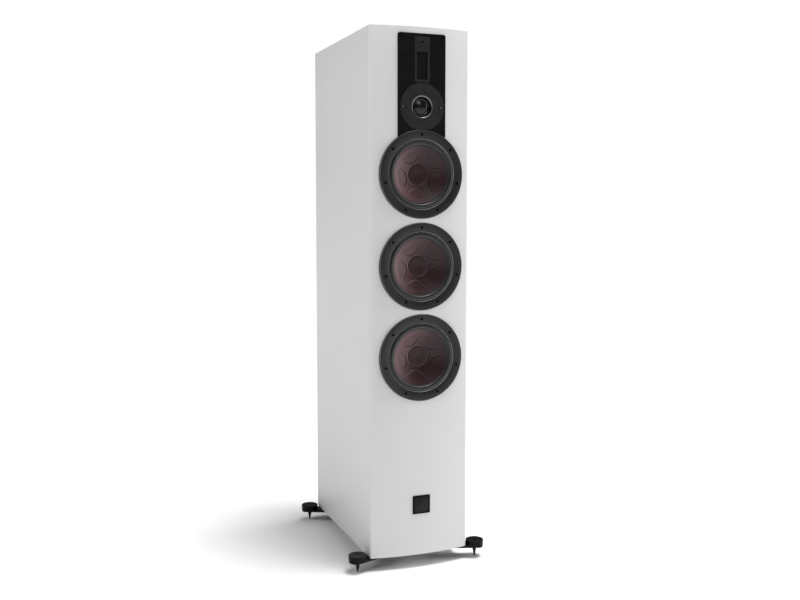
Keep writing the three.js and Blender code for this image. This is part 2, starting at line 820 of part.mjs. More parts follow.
function domeMagnet() {
  const front = moduleFace + facePlateBack + seatGap;
  const pole = domeRadius - domePoleGap;
  const gapOuter = domeRadius + domePlateGap;
  const gapFloor = front + domeGapDepth;
  const profile = [
    [0, front - poleProud],
    [pole, front - poleProud],
    [pole, gapFloor],
    [gapOuter, gapFloor],
    [gapOuter, front],
    [domeMagnetRadius, front],
    [domeMagnetRadius, front + domeMagnetLength],
    [0, front + domeMagnetLength],
  ];
  return turned(profile, coarse);
}

function ribbonFrame() {
  const shape = rectangle(ribbonWidth, ribbonBottom, ribbonTop);
  const half = ribbonWindowWidth / 2;
  const window = [
    new THREE.Vector2(-half, ribbonWindowBottom),
    new THREE.Vector2(-half, ribbonWindowTop),
    new THREE.Vector2(half, ribbonWindowTop),
    new THREE.Vector2(half, ribbonWindowBottom),
  ];
  shape.holes.push(new THREE.Path(window));
  const screw = new THREE.Path();
  screw.absarc(0, ribbonScrewHeight, ribbonScrewRadius, 0, 2 * Math.PI, true);
  shape.holes.push(screw);
  return frontPlate(shape, ribbonFace, ribbonPlate, small / 2);
}

// The foil is a sheet folded into pleats that run across it, one above the other.
function ribbonFoil() {
  const low = ribbonWindowBottom + 1;
  const high = ribbonWindowTop - 1;
  const count = foilPleatCount * 2;
  const front = [];
  for (let i = 0; i <= count; i += 1) {
    const z = low + ((high - low) * i) / count;
    const fold = i % 2 === 0 ? 0 : foilPleat;
    front.push(new THREE.Vector2(z, ribbonFace + foilRecess + fold));
  }
  const back = front.map((point) => new THREE.Vector2(point.x, point.y + foilThickness));
  const shape = new THREE.Shape([...front, ...back.reverse()]);
  const width = ribbonWindowWidth - 2;
  const foil = new THREE.ExtrudeGeometry(shape, { depth: width, bevelEnabled: false });
  foil.translate(0, 0, -width / 2);
  return foil.rotateY(-Math.PI / 2);
}

function ribbonMagnet() {
  const front = moduleFace + moduleThickness + ribbonMagnetGap;
  const half = ribbonMagnetWidth / 2;
  const low = ribbonBottom + ribbonMagnetEnd;
  const high = ribbonTop - ribbonMagnetEnd;
  const body = block([-half, front, low], [half, front + ribbonMagnetDepth, high]);
  const channelHalf = ribbonWindowWidth / 2 - magnetChannelInset;
  const channelFloor = front + magnetChannelDepth;
  const channelLow = [-channelHalf, front - overshoot, ribbonWindowBottom + ribbonMagnetEnd];
  const channelHigh = [channelHalf, channelFloor, ribbonWindowTop - ribbonMagnetEnd];
  return cut(body, [block(channelLow, channelHigh)]);
}

function buildTweeterModule() {
  place("module_plate", modulePlate(), moduleBlack());
  place("dome_faceplate", domeFacePlate(), facePlateGrey(), 0, 0, domeHeight);
  place("dome_diaphragm", domeDiaphragm(), silk(), 0, 0, domeHeight);
  place("dome_magnet", domeMagnet(), ferrite(), 0, 0, domeHeight);
  place("ribbon_frame", ribbonFrame(), facePlateGrey());
  place("ribbon_foil", ribbonFoil(), foilMetal());
  place("ribbon_magnet", ribbonMagnet(), ferrite());
}

// ---- badge ----
function badge() {
  const half = badgeSize / 2;
  const back = -frontBulge - seatGap;
  const front = back - badgeThickness;
  const plate = block([-half, front, badgeHeight - half], [half, back, badgeHeight + half]);
  const panel = half - badgeBorder;
  const low = [-panel, front - overshoot, badgeHeight - panel];
  const high = [panel, front + badgePanelDepth, badgeHeight + panel];
  return cut(plate, [block(low, high)]);
}

// ---- feet ----
const armTop = -seatGap;
const armBottom = armTop - armThickness;
const knobBottom = armTop + seatGap;

// An arm lies along +X from its root to the boss under the knob.
function outriggerArm() {
  const root = -armLength;
  const bar = new THREE.Shape([
    new THREE.Vector2(root, -armRootWidth / 2),
    new THREE.Vector2(0, -armNeckWidth / 2),
    new THREE.Vector2(0, armNeckWidth / 2),
    new THREE.Vector2(root, armRootWidth / 2),
  ]);
  const plate = new THREE.ExtrudeGeometry(bar, { depth: armThickness, bevelEnabled: false });
  plate.translate(0, 0, armBottom);
  const boss = rodAlongZ(armBossRadius, armBottom, armTop, 0, 0, medium);
  const below = armBottom - overshoot;
  const above = armTop + overshoot;
  const shankHole = rodAlongZ(spikeRadius + runningGap, below, above, 0, 0, small);
  const screwHoles = [];
  for (const sign of [-1, 1]) {
    const y = sign * (armRootWidth / 2 - armScrewInset);
    screwHoles.push(rodAlongZ(armScrewRadius, below, above, root + armScrewSetback, y, small));
  }
  return cut(join([plate, boss]), [shankHole, ...screwHoles]);
}

function footKnob() {
  const top = knobBottom + knobThickness;
  const bore = spikeRadius + runningGap;
  const profile = [
    [0, knobBottom + knobBoreDepth],
    [bore, knobBottom + knobBoreDepth],
    [bore, knobBottom],
    [knobRadius - knobEdge / 2, knobBottom],
    [knobRadius, knobBottom + knobEdge / 2],
    [knobRadius, top - knobEdge],
    [knobRadius - knobEdge, top],
    [0, top],
  ];
  return turned(profile, medium).rotateX(Math.PI / 2);
}

function footSpike() {
  const profile = [
    [0, -groundClearance],
    [spikeTipRadius, -groundClearance],
    [spikeRadius, armBottom - spikeShankBelow],
    [spikeRadius, knobBottom + knobBoreDepth - spikeTopGap],
    [0, knobBottom + knobBoreDepth - spikeTopGap],
  ];
  return turned(profile, small).rotateX(Math.PI / 2);
}

function buildFeet() {
  for (const [side, sideSign] of [["left", -1], ["right", 1]]) {
    for (const [end, endSign, y] of [["front", -1, frontFootDepth], ["rear", 1, rearFootDepth]]) {
      const x = sideSign * (halfWidth + footOutset);
      const outward = Math.atan2(endSign * Math.sin(footSplay), sideSign * Math.cos(footSplay));
      const arm = place(`outrigger_arm_${end}_${side}`, outriggerArm(), footBlack(), x, y, 0);
      arm.rotation.z = outward;
      place(`foot_knob_${end}_${side}`, footKnob(), footBlack(), x, y, 0);
      place(`foot_spike_${end}_${side}`, footSpike(), footBlack(), x, y, 0);
    }
  }
}

// ---- ports and terminals ----
function portTube() {
  const flangeBack = rearFace + seatGap;
  const face = flangeBack + portFlangeThickness;
  const inner = face - portLength;
  const flareSteps = 3;
  const flare = [];
  for (let i = 0; i <= flareSteps; i += 1) {
    const angle = (i * Math.PI) / 2 / flareSteps;
    const radius = portMouth - (portMouth - portThroat) * Math.sin(angle);
    flare.push([radius, face - portFlareLength * (1 - Math.cos(angle))]);
  }
  const outer = portMouth + portLip;
  const profile = [
    ...flare,
    [portThroat, inner + portInnerFlareLength],
    [portThroat + portInnerFlare, inner],
    [portThroat + portWall, inner],
    [portThroat + portWall, face - portFlareLength],
    [outer, flangeBack - portLipLength],
    [outer, flangeBack],
    [portFlange, flangeBack],
    [portFlange, face],
  ];
  return turned(profile, medium);
}

const postPlaces = [];
for (const [side, sideSign] of [["left", -1], ["right", 1]]) {
  for (const [level, levelSign] of [["upper", 1], ["lower", -1]]) {
    postPlaces.push({
      name: `${level}_${side}`,
      x: (sideSign * postSpacingX) / 2,
      z: terminalHeight + (levelSign * postSpacingZ) / 2,
    });
  }
}

function terminalPlate() {
  const low = terminalHeight - terminalTall / 2;
  const high = terminalHeight + terminalTall / 2;
  const shape = roundedRectangle(terminalWidth, low, high, terminalCornerRadius);
  const back = rearFace + seatGap;
  const plate = frontPlate(shape, back, terminalThickness, small / 2);
  const studEnd = postBack + postLength - studEndInset;
  const studs = postPlaces.map(({ x, z }) => rodAlongY(studRadius, back - studTail, studEnd, x, z, small));
  return join([plate, ...studs]);
}

function bindingPost() {
  const bore = studRadius + runningGap;
  const profile = [
    [bore, postBack],
    [postRadius - postEdge, postBack],
    [postRadius, postBack + postEdge],
    [postRadius, postBack + postLength - postEdge],
    [postRadius - postEdge, postBack + postLength],
    [bore, postBack + postLength],
  ];
  return turned(profile, small * 2);
}

function jumperLink() {
  const reach = postSpacingZ / 2;
  const half = jumperWidth / 2;
  const shape = new THREE.Shape();
  shape.absarc(0, reach, half, 0, Math.PI, false);
  shape.absarc(0, -reach, half, Math.PI, 2 * Math.PI, false);
  for (const z of [-reach, reach]) {
    const hole = new THREE.Path();
    hole.absarc(0, z, studRadius + runningGap, 0, 2 * Math.PI, true);
    shape.holes.push(hole);
  }
  return frontPlate(shape, terminalFace + seatGap, jumperThickness, small / 2);
}

function buildRear() {
  portNames.forEach((name, i) => {
    place(`port_tube_${name}`, portTube(), portPlastic(), 0, 0, portHeights[i]);
  });
  place("terminal_plate", terminalPlate(), contactGold());
  for (const { name, x, z } of postPlaces) {
    place(`binding_post_${name}`, bindingPost(), postClear(), x, 0, z);
  }
  for (const [side, sideSign] of [["left", -1], ["right", 1]]) {
    const x = (sideSign * postSpacingX) / 2;
    place(`jumper_link_${side}`, jumperLink(), contactGold(), x, 0, terminalHeight);
  }
}

// ---- crossover and wiring ----
const boardBack = rearInner - boardSetback;

function crossoverBoard() {
  const half = boardWidth / 2;
  const low = boardHeight - boardTall / 2;
  const high = boardHeight + boardTall / 2;
  const sheet = block([-half, boardBack - boardSheet, low], [half, boardBack, high]);
  const pillars = [];
  for (const x of [-half + pillarInset, half - pillarInset]) {
    for (const z of [low + pillarInset, high - pillarInset]) {
      const start = boardBack - boardSheet / 2;
      pillars.push(rodAlongY(pillarRadius, start, rearInner - seatGap, x, z, small));
    }
  }
  return join([sheet, ...pillars]);
}

function crossoverCoil() {
  const back = boardBack - boardSheet - seatGap;
  const front = back - coilTall;
  const profile = [[coilInner, front], [coilOuter, front], [coilOuter, back], [coilInner, back]];
  return turned(profile, coarse);
}

function capacitor() {
  const body = new THREE.CylinderGeometry(capacitorRadius, capacitorRadius, capacitorLength, coarse);
  body.rotateZ(Math.PI / 2);
  return body.translate(0, boardBack - boardSheet - seatGap - capacitorRadius, 0);
}

// A straight wire between two points.
function wire(from, to, radius) {
  const start = new THREE.Vector3(...from);
  const end = new THREE.Vector3(...to);
  const run = new THREE.CylinderGeometry(radius, radius, start.distanceTo(end), small);
  const along = end.clone().sub(start).normalize();
  run.applyQuaternion(new THREE.Quaternion().setFromUnitVectors(new THREE.Vector3(0, 1, 0), along));
  const middle = start.add(end).multiplyScalar(0.5);
  return run.translate(middle.x, middle.y, middle.z);
}

function wiringLoom() {
  const boardTopEdge = boardHeight + boardTall / 2;
  const foot = [loomX, loomY, boardTopEdge + loomRise];
  const head = [loomX, loomY, domeHeight + loomRise];
  const tail = [loomX, boardBack - boardSheet - loomBoardGap, boardTopEdge - loomBoardDrop];
  const runs = [
    wire(tail, foot, loomRadius),
    wire(foot, head, loomRadius),
    wire(head, [loomHeadX, loomHeadY, domeHeight + loomHeadRise], loomBranchRadius),
  ];
  for (const joint of [foot, head]) {
    const knuckle = new THREE.SphereGeometry(loomRadius + loomKnuckle, screwFacets, small);
    runs.push(knuckle.translate(...joint));
  }
  for (const z of bassHeights) {
    const tag = [basketNeckRadius + loomBranchRadius + loomTagGap, basketBack - loomTagInset, z];
    const leaves = [loomX, loomY, Math.max(z - loomDrop, foot[2])];
    runs.push(wire(leaves, tag, loomBranchRadius));
  }
  return join(runs);
}

function buildCrossover() {
  place("crossover_board", crossoverBoard(), boardGreen());
  place("bass_inductor", crossoverCoil(), copper(), -boardWidth / 4, 0, boardHeight - inductorDrop);
  place("treble_inductor", crossoverCoil(), copper(), boardWidth / 4, 0, boardHeight - inductorDrop);
  place("crossover_capacitor", capacitor(), sleeve(), -boardWidth / 6, 0, boardHeight + capacitorRise);
  place("wiring_loom", wiringLoom(), sleeve());
}

buildCabinet();
buildBraces();
buildBassUnits();
buildTweeterModule();
place("badge_plate", badge(), moduleBlack());
buildFeet();
buildRear();
buildCrossover();

standing.position.set(0, (frontReach - rearReach) / 2, groundClearance);

export default speaker;
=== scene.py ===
import math
import bmesh
import bpy
import numpy as np
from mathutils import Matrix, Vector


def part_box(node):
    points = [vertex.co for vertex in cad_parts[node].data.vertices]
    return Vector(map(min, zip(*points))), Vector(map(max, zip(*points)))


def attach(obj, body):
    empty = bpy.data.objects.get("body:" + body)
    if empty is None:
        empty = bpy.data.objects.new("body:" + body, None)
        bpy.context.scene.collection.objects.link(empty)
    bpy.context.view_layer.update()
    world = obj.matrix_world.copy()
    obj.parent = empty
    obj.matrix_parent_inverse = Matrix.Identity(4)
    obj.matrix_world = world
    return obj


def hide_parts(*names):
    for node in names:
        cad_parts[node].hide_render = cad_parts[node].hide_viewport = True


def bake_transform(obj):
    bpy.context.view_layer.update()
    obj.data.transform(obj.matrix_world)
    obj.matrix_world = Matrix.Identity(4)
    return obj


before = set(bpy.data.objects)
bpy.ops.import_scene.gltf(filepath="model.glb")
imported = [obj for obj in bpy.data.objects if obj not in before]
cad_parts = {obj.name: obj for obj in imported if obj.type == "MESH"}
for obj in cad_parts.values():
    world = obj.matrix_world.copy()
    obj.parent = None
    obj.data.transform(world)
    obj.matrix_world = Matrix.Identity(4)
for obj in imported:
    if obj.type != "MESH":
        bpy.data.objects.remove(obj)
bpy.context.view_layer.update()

mm = 0.001
tau = 2 * math.pi


# A wire is one socket of a node tree: an operator on it adds the Math node for that sum.
class Wire:
    def __init__(self, tree, socket):
        self.tree = tree
        self.socket = socket

    def math(self, operation, *values):
        node = self.tree.nodes.new("ShaderNodeMath")
        node.operation = operation
        for entry, value in zip(node.inputs, values):
            plug(self.tree, entry, value)
        return Wire(self.tree, node.outputs[0])

    def __add__(self, other):
        return self.math("ADD", self, other)

    def __radd__(self, other):
        return self.math("ADD", other, self)

    def __sub__(self, other):
        return self.math("SUBTRACT", self, other)

    def __rsub__(self, other):
        return self.math("SUBTRACT", other, self)

    def __mul__(self, other):
        return self.math("MULTIPLY", self, other)

    def __rmul__(self, other):
        return self.math("MULTIPLY", other, self)

    def __truediv__(self, other):
        return self.math("DIVIDE", self, other)

    def __abs__(self):
        return self.math("ABSOLUTE", self)

    def wave(self):
        return self.math("SINE", self)

    def highest(self, other):
        return self.math("MAXIMUM", self, other)

    def lowest(self, other):
        return self.math("MINIMUM", self, other)


def plug(tree, entry, value):
    if isinstance(value, Wire):
        tree.links.new(value.socket, entry)
    else:
        entry.default_value = value


def grey(level):
    return (level, level, level, 1)


def rgb(red, green, blue):
    return (red, green, blue, 1)


# A finish is one material round a Principled shader. Its fixed values go on the shader's own sockets.
class Finish:
    def __init__(self, name, **fixed):
        self.material = bpy.data.materials.new(name)
        self.material.use_nodes = True
        self.tree = self.material.node_tree
        self.tree.nodes.clear()
        output = self.tree.nodes.new("ShaderNodeOutputMaterial")
        self.shader = self.tree.nodes.new("ShaderNodeBsdfPrincipled")
        self.tree.links.new(self.shader.outputs[0], output.inputs[0])
        for entry, value in fixed.items():
            self.shader.inputs[entry.replace("_", " ")].default_value = value
        self.place = self.node("ShaderNodeTexCoord", out="Object")

    # kind is the node's type, settings are set first, entries are its sockets' values or wires
    def node(self, kind, settings=None, entries=None, out=0):
        node = self.tree.nodes.new(kind)
        for key, value in (settings or {}).items():
            if key == "stops":
                for k, (position, colour) in enumerate(value):
                    element = node.color_ramp.elements
                    stop = element[k] if k < 2 else element.new(position)
                    stop.position = position
                    stop.color = colour
            else:
                setattr(node, key, value)
        for key, value in (entries or {}).items():
            plug(self.tree, node.inputs[key], value)
        return Wire(self.tree, node.outputs[out])

    def noise(self, scale, detail=3.0, distortion=0.0, place=None, roughness=0.5):
        entries = {"Vector": place or self.place, "Scale": scale, "Detail": detail,
                   "Distortion": distortion, "Roughness": roughness}
        return self.node("ShaderNodeTexNoise", {}, entries, "Fac")

    def cells(self, scale, feature="F1", place=None):
        entries = {"Vector": place or self.place, "Scale": scale}
        return self.node("ShaderNodeTexVoronoi", {"feature": feature}, entries, "Distance")

    def stretched(self, scale, turn=(0, 0, 0), move=(0, 0, 0)):
        entries = {"Vector": self.place, "Scale": scale, "Rotation": turn, "Location": move}
        return self.node("ShaderNodeMapping", {}, entries)

    def axes(self, place=None):
        node = self.tree.nodes.new("ShaderNodeSeparateXYZ")
        plug(self.tree, node.inputs[0], place or self.place)
        return [Wire(self.tree, socket) for socket in node.outputs]

    def span(self, value, low, high, start=0.0, end=1.0):
        settings = {"interpolation_type": "SMOOTHSTEP"}
        entries = {"Value": value, "From Min": low, "From Max": high, "To Min": start, "To Max": end}
        return self.node("ShaderNodeMapRange", settings, entries)

    # how far a surface turns away from the eye: 0 up to the low share, 1 from the high share on; it places
    # painted sheen
    def paintedSheenWeight(self, low, high):
        facing = self.node("ShaderNodeLayerWeight", None, {"Blend": 0.5}, out="Facing")
        return self.span(facing, low, high)

    def blend(self, factor, first, second):
        node = self.tree.nodes.new("ShaderNodeMix")
        node.data_type = "RGBA"
        plug(self.tree, node.inputs[0], factor)
        plug(self.tree, node.inputs[6], first)
        plug(self.tree, node.inputs[7], second)
        return Wire(self.tree, node.outputs[2])

    def feed(self, **wires):
        for entry, value in wires.items():
            plug(self.tree, self.shader.inputs[entry.replace("_", " ")], value)
        return self

    # height is a value in metres; the bump node turns it into a surface normal
    def relief(self, height, strength=1.0):
        entries = {"Height": height, "Strength": strength, "Distance": 1.0}
        return self.feed(Normal=self.node("ShaderNodeBump", {}, entries))


lacquerLook = {"white": grey(0.70), "shade": grey(0.68), "gloss": 0.42, "peel": 0.000006}


# Satin lacquer: a faint cloud in the white and a very shallow peel in the gloss.
def lacquer():
    f = Finish("satin_lacquer", Coat_Weight=0.12, Coat_Roughness=0.3, Specular_IOR_Level=0.22)
    cloud = f.noise(7, 2)
    peel = f.noise(420, 2)
    f.feed(Base_Color=f.blend(cloud, lacquerLook["shade"], lacquerLook["white"]))
    f.feed(Roughness=lacquerLook["gloss"] + 0.06 * f.noise(28, 4))
    return f.relief(peel * lacquerLook["peel"]).material


# Fine grained moulding: a fine noise for the skin and a slow one for wear in the gloss. The optional pale
# tone is a painted sheen, laid on where the skin turns away from the eye in place of reflected light.
def moulded(name, dark, light, rough, grain, depth, paintedSheen=None, **fixed):
    f = Finish(name, **fixed)
    skin = f.noise(grain, 4)
    slow = f.noise(grain / 25, 3)
    tone = f.blend(f.span(slow, 0.3, 0.7), dark, light)
    # a painted sheen: the pale tone is laid on where the surface turns away from the eye, for reflected
    # light
    if paintedSheen:
        tone = f.blend(f.paintedSheenWeight(0.0, 0.35), tone, paintedSheen)
    f.feed(Base_Color=tone)
    f.feed(Roughness=rough - 0.05 + 0.1 * slow + 0.06 * skin)
    return f.relief(skin * depth).material


# of these, the pale pink tone is a painted sheen, and the darkest one paints shade in the creases
fibreLook = {"body": rgb(0.020, 0.0035, 0.0058), "fibre": rgb(0.048, 0.017, 0.021),
             "dark": rgb(0.010, 0.0022, 0.0034), "paintedSheenTone": rgb(0.165, 0.088, 0.100),
             "creaseShade": rgb(0.002, 0.001, 0.001), "threads": 260, "rough": 0.33}


# Pressed wood fibre: thin threads lie where two warped noises cross their middle value.
def woodFibre():
    f = Finish("wood_fibre", Specular_IOR_Level=0.34)
    first = f.noise(fibreLook["threads"], 3, 2.5)
    second = f.noise(fibreLook["threads"] * 1.7, 3, 1.5, f.stretched((1, 1, 1), (0.4, 0.9, 0.2)))
    lines = f.span(abs(first - 0.5).lowest(abs(second - 0.5)), 0.0, 0.035, 1.0, 0.0)
    flecks = f.span(f.cells(900), 0.0, 0.35, 1.0, 0.0) * 0.35
    tone = f.blend(f.noise(30, 4), fibreLook["dark"], fibreLook["body"])
    tone = f.blend(f.span(f.noise(14, 2), 0.3, 0.75) * 0.6 + 0.4, tone, fibreLook["body"])
    tone = f.blend(lines * 0.28 + flecks * 0.25, tone, fibreLook["fibre"])
    # a painted sheen: paler colour where the surface turns away from the eye, in place of light on the
    # cone's walls
    tone = f.blend(f.paintedSheenWeight(0.05, 0.42), tone, fibreLook["paintedSheenTone"])
    # painted shade: the cones are darkened along the bottoms of their pressed creases
    creaseShade = f.node("ShaderNodeAttribute", {"attribute_name": "creaseShade"}, out="Fac")
    f.feed(Base_Color=f.blend(creaseShade * 0.75, tone, fibreLook["creaseShade"]))
    f.feed(Roughness=fibreLook["rough"] + 0.14 * f.noise(500, 2) - 0.06 * lines)
    return f.relief((lines + 0.5 * f.noise(700, 2)) * 0.00002).material


# Plain weave: the warp and the weft are two sine waves at right angles, and the higher one is on top.
def wovenCloth(name, dark, light, pitch, depth, **fixed):
    f = Finish(name, **fixed)
    across, _, up = f.axes()
    warp = abs((across * (tau / pitch / 2)).wave())
    weft = abs((up * (tau / pitch / 2)).wave())
    over = warp.highest(weft)
    f.feed(Base_Color=f.blend(over * 0.8 + 0.2 * f.noise(600, 2), dark, light))
    f.feed(Roughness=0.9 - 0.15 * over)
    return f.relief(over * depth).material


# Drawn or turned metal: noise stretched along the cut gives the fine parallel lines.
def brushed(name, dark, light, rough, stretch, depth=0.000004, **fixed):
    f = Finish(name, Metallic=1.0, **fixed)
    lines = f.noise(60, 5, 0, f.stretched(stretch))
    spots = f.noise(45, 3)
    f.feed(Base_Color=f.blend(lines * 0.6 + spots * 0.4, dark, light))
    f.feed(Roughness=rough + 0.12 * lines + 0.06 * spots)
    return f.relief(lines * depth).material


# Raw board: small chips of wood in a bed of finer dust.
def fibreboard():
    f = Finish("fibreboard", Specular_IOR_Level=0.3)
    chips = f.cells(700)
    bed = f.noise(90, 5)
    f.feed(Base_Color=f.blend(chips * 0.5 + bed * 0.6, rgb(0.30, 0.19, 0.10), rgb(0.50, 0.36, 0.22)))
    f.feed(Roughness=0.82 + 0.1 * bed)
    return f.relief(chips * 0.00006).material


# Green board: the tracks are the high parts of a noise drawn out along the board's width.
def circuitBoard():
    f = Finish("circuit_board")
    tracks = f.span(f.noise(70, 0, 0, f.stretched((0.25, 1, 1))), 0.5, 0.53)
    f.feed(Base_Color=f.blend(tracks, rgb(0.02, 0.085, 0.035), rgb(0.05, 0.18, 0.08)))
    f.feed(Roughness=0.45 + 0.2 * f.noise(200, 2))
    return f.relief(tracks * 0.00003).material


# Wound wire: the turns are a sine wave along the coil's axis.
def windings():
    f = Finish("copper_windings", Metallic=1.0)
    along = f.axes()[1]
    turns = abs((along * (tau / 0.0024)).wave())
    f.feed(Base_Color=f.blend(turns, rgb(0.22, 0.07, 0.03), rgb(0.75, 0.34, 0.17)))
    f.feed(Roughness=0.35 + 0.2 * f.noise(300, 2))
    return f.relief(turns * 0.0003).material


looks = {
    "lacquer": lacquer(),
    "raw_board": fibreboard(),
    # the last colour of the ring and of the surround is a painted sheen where they turn away from the eye
    "ring_black": moulded("ring_black", grey(0.006), grey(0.009), 0.32, 900, 0.000010, grey(0.05),
                          Specular_IOR_Level=0.35),
    "rubber": moulded("surround_rubber", grey(0.002), grey(0.004), 0.36, 700, 0.000012, grey(0.06),
                      Specular_IOR_Level=0.4),
    "wood_fibre": woodFibre(),
    "spider_cloth": wovenCloth("spider_cloth", rgb(0.20, 0.11, 0.03), rgb(0.48, 0.30, 0.11), 0.0009, 0.0001),
    "cast_alloy": moulded("cast_alloy", grey(0.05), grey(0.08), 0.5, 500, 0.00003, Metallic=0.6),
    "magnet": moulded("ferrite", grey(0.02), grey(0.04), 0.55, 260, 0.00003, Metallic=0.2),
    "module_black": moulded("module_black", grey(0.0042), grey(0.0062), 0.5, 1100, 0.000008,
                            Specular_IOR_Level=0.06),
    "faceplate_grey": moulded("faceplate_grey", grey(0.013), grey(0.018), 0.42, 1500, 0.000006,
                              Specular_IOR_Level=0.2),
    "silk": wovenCloth("dome_silk", grey(0.001), grey(0.003), 0.0005, 0.00001, Coat_Weight=0.75,
                       Coat_Roughness=0.08, Specular_IOR_Level=0.02),
    "foil": brushed("ribbon_foil", grey(0.30), grey(0.55), 0.25, (1, 1, 14)),
    "foot_black": moulded("foot_black", grey(0.002), grey(0.0035), 0.2, 500, 0.000004,
                          Specular_IOR_Level=0.12),
    "spike_steel": brushed("spike_steel", grey(0.010), grey(0.022), 0.22, (1, 1, 16)),
    "port_plastic": moulded("port_plastic", grey(0.011), grey(0.018), 0.5, 800, 0.000014),
    "terminal_metal": brushed("terminal_plate", grey(0.045), grey(0.075), 0.35, (16, 1, 1)),
    "contact_gold": brushed("contact_gold", rgb(0.55, 0.33, 0.09), rgb(0.83, 0.58, 0.22), 0.16, (1, 12, 1)),
    "post_cap": moulded("post_cap", grey(0.010), grey(0.018), 0.2, 600, 0.000005, Coat_Weight=0.3),
    "circuit_board": circuitBoard(),
    "copper_wire": windings(),
    "sleeve": wovenCloth("braided_sleeve", grey(0.010), grey(0.03), 0.0012, 0.0002),
}
screwBlack = moulded("screw_black", grey(0.0015), grey(0.003), 0.35, 800, 0.000006, Specular_IOR_Level=0.1)
screwSteel = brushed("screw_steel", grey(0.16), grey(0.28), 0.3, (1, 8, 1))
flareMetal = brushed("flare_metal", grey(0.13), grey(0.22), 0.2, (1, 10, 1))
# a pale grey that paints a highlight on the bore wall of each black trim ring
ringLipHighlight = moulded("ring_lip_highlight", grey(0.3), grey(0.4), 0.35, 900, 0.000004)
grilleCloth = wovenCloth("ribbon_gauze", grey(0.0018), grey(0.0055), 0.0007, 0.00006, Specular_IOR_Level=0.1)
badgeGloss = moulded("badge_gloss", grey(0.0015), grey(0.003), 0.3, 300, 0.000002, Specular_IOR_Level=0.06)
badgePanel = moulded("badge_panel", grey(0.008), grey(0.012), 0.34, 1400, 0.000005, Specular_IOR_Level=0.16)
print("finishes made:", len(bpy.data.materials))


# Points of shape (rows, columns, 3) become a mesh whose columns close on themselves. wrap joins the last row
# to the first; otherwise each end row is closed by one flat face, or shrinks to a point if it has no size.
def surface(name, points, wrap=False):
    rows, columns = points.shape[:2]
    base = (np.arange(rows if wrap else rows - 1) * columns)[:, None]
    here = np.arange(columns)[None, :]
    ahead = (here + 1) % columns
    above = (base + columns) % (rows * columns)
    quads = np.stack([base + here, base + ahead, above + ahead, above + here], -1).reshape(-1, 4)
    faces = quads.tolist()
    if not wrap:
        faces.append(list(range(columns)))
        faces.append(list(range((rows - 1) * columns, rows * columns)))
    mesh = bpy.data.meshes.new(name)
    mesh.from_pydata(points.reshape(-1, 3).tolist(), [], faces)
    return tidied(mesh)


# Doubles are merged first, so that poles and seams are closed, and then the normals are made to face out.
def tidied(mesh, gap=1e-7):
    work = bmesh.new()
    work.from_mesh(mesh)
    bmesh.ops.remove_doubles(work, verts=work.verts, dist=gap)
    bmesh.ops.dissolve_degenerate(work, edges=work.edges, dist=gap)
    bmesh.ops.recalc_face_normals(work, faces=work.faces)
    work.to_mesh(mesh)
    work.free()
    return mesh


def place(name, mesh, sharp=32):
    mesh.polygons.foreach_set("use_smooth", np.ones(len(mesh.polygons), bool))
    mesh.set_sharp_from_angle(angle=math.radians(sharp))
    thing = bpy.data.objects.new(name, mesh)
    bpy.context.scene.collection.objects.link(thing)
    return thing


# Several meshes as one, in the order given.
def joined(name, meshes):
    work = bmesh.new()
    for mesh in meshes:
        work.from_mesh(mesh)
    whole = bpy.data.meshes.new(name)
    work.to_mesh(whole)
    work.free()
    return whole


def shifted(mesh, x=0.0, y=0.0, z=0.0, turn=0.0, about="Y"):
    copy = mesh.copy()
    c, s = math.cos(turn), math.sin(turn)
    points = readPoints(copy)
    if about == "Y":
        points = points @ np.array([[c, 0, s], [0, 1, 0], [-s, 0, c]]).T
    else:
        points = points @ np.array([[c, -s, 0], [s, c, 0], [0, 0, 1]]).T
    writePoints(copy, points + np.array([x, y, z]))
    return copy


def readPoints(mesh):
    points = np.empty(len(mesh.vertices) * 3, np.float32)
    mesh.vertices.foreach_get("co", points)
    return points.reshape(-1, 3).astype(float)


def writePoints(mesh, points):
    mesh.vertices.foreach_set("co", points.astype(np.float32).ravel())
    mesh.update()


# The target less the cutters, worked out exactly; the cutters are used up.
def carve(mesh, cutters, sharp=32):
    target = place("carving", mesh)
    tools = [place(f"tool_{i}", cutter) for i, cutter in enumerate(cutters)]
    for tool in tools:
        bite = target.modifiers.new("bite", "BOOLEAN")
        bite.operation = "DIFFERENCE"
        bite.solver = "EXACT"
        bite.object = tool
    graph = bpy.context.evaluated_depsgraph_get()
    result = bpy.data.meshes.new_from_object(target.evaluated_get(graph))
    for thing in [target, *tools]:
        bpy.data.objects.remove(thing)
    return tidied(result, 1e-6)


# A round piece: the profile, a list of (radius, along), is carried round an axis through the centre.
# axis "y" takes along as y and turns in the x, z plane; axis "z" takes along as z.
def turned(name, profile, centre=(0, 0, 0), segments=96, axis="y", wrap=False, wobble=None):
    profile = np.array(profile, float)
    angle = np.linspace(0, tau, segments, endpoint=False)
    radius = profile[:, 0][:, None] * np.ones(segments)
    along = profile[:, 1][:, None] * np.ones(segments)
    if wobble is not None:
        radius, along = wobble(radius, along, angle[None, :])
    across = radius * np.cos(angle)
    up = radius * np.sin(angle)
    layers = (across, along, up) if axis == "y" else (across, up, along)
    return surface(name, np.stack(layers, -1) + np.array(centre, float), wrap)


# A plain round rod from start to end along y, for cutting holes.
def rod(radius, start, end, x, z, segments=32):
    return turned("rod", [(0, start), (radius, start), (radius, end), (0, end)], (x, 0, z), segments)


# A rounded corner of a profile: points on the quarter turn from (r0, y0) to (r1, y1) that bulges towards
# the corner (r1, y0) when lead is True, or (r0, y1) when it is False.
def quarter(start, end, steps=5, lead=True):
    t = np.linspace(0, math.pi / 2, steps + 1)
    (r0, y0), (r1, y1) = start, end
    if lead:
        return [(r0 + (r1 - r0) * math.sin(a), y1 + (y0 - y1) * math.cos(a)) for a in t]
    return [(r1 + (r0 - r1) * math.cos(a), y0 + (y1 - y0) * math.sin(a)) for a in t]


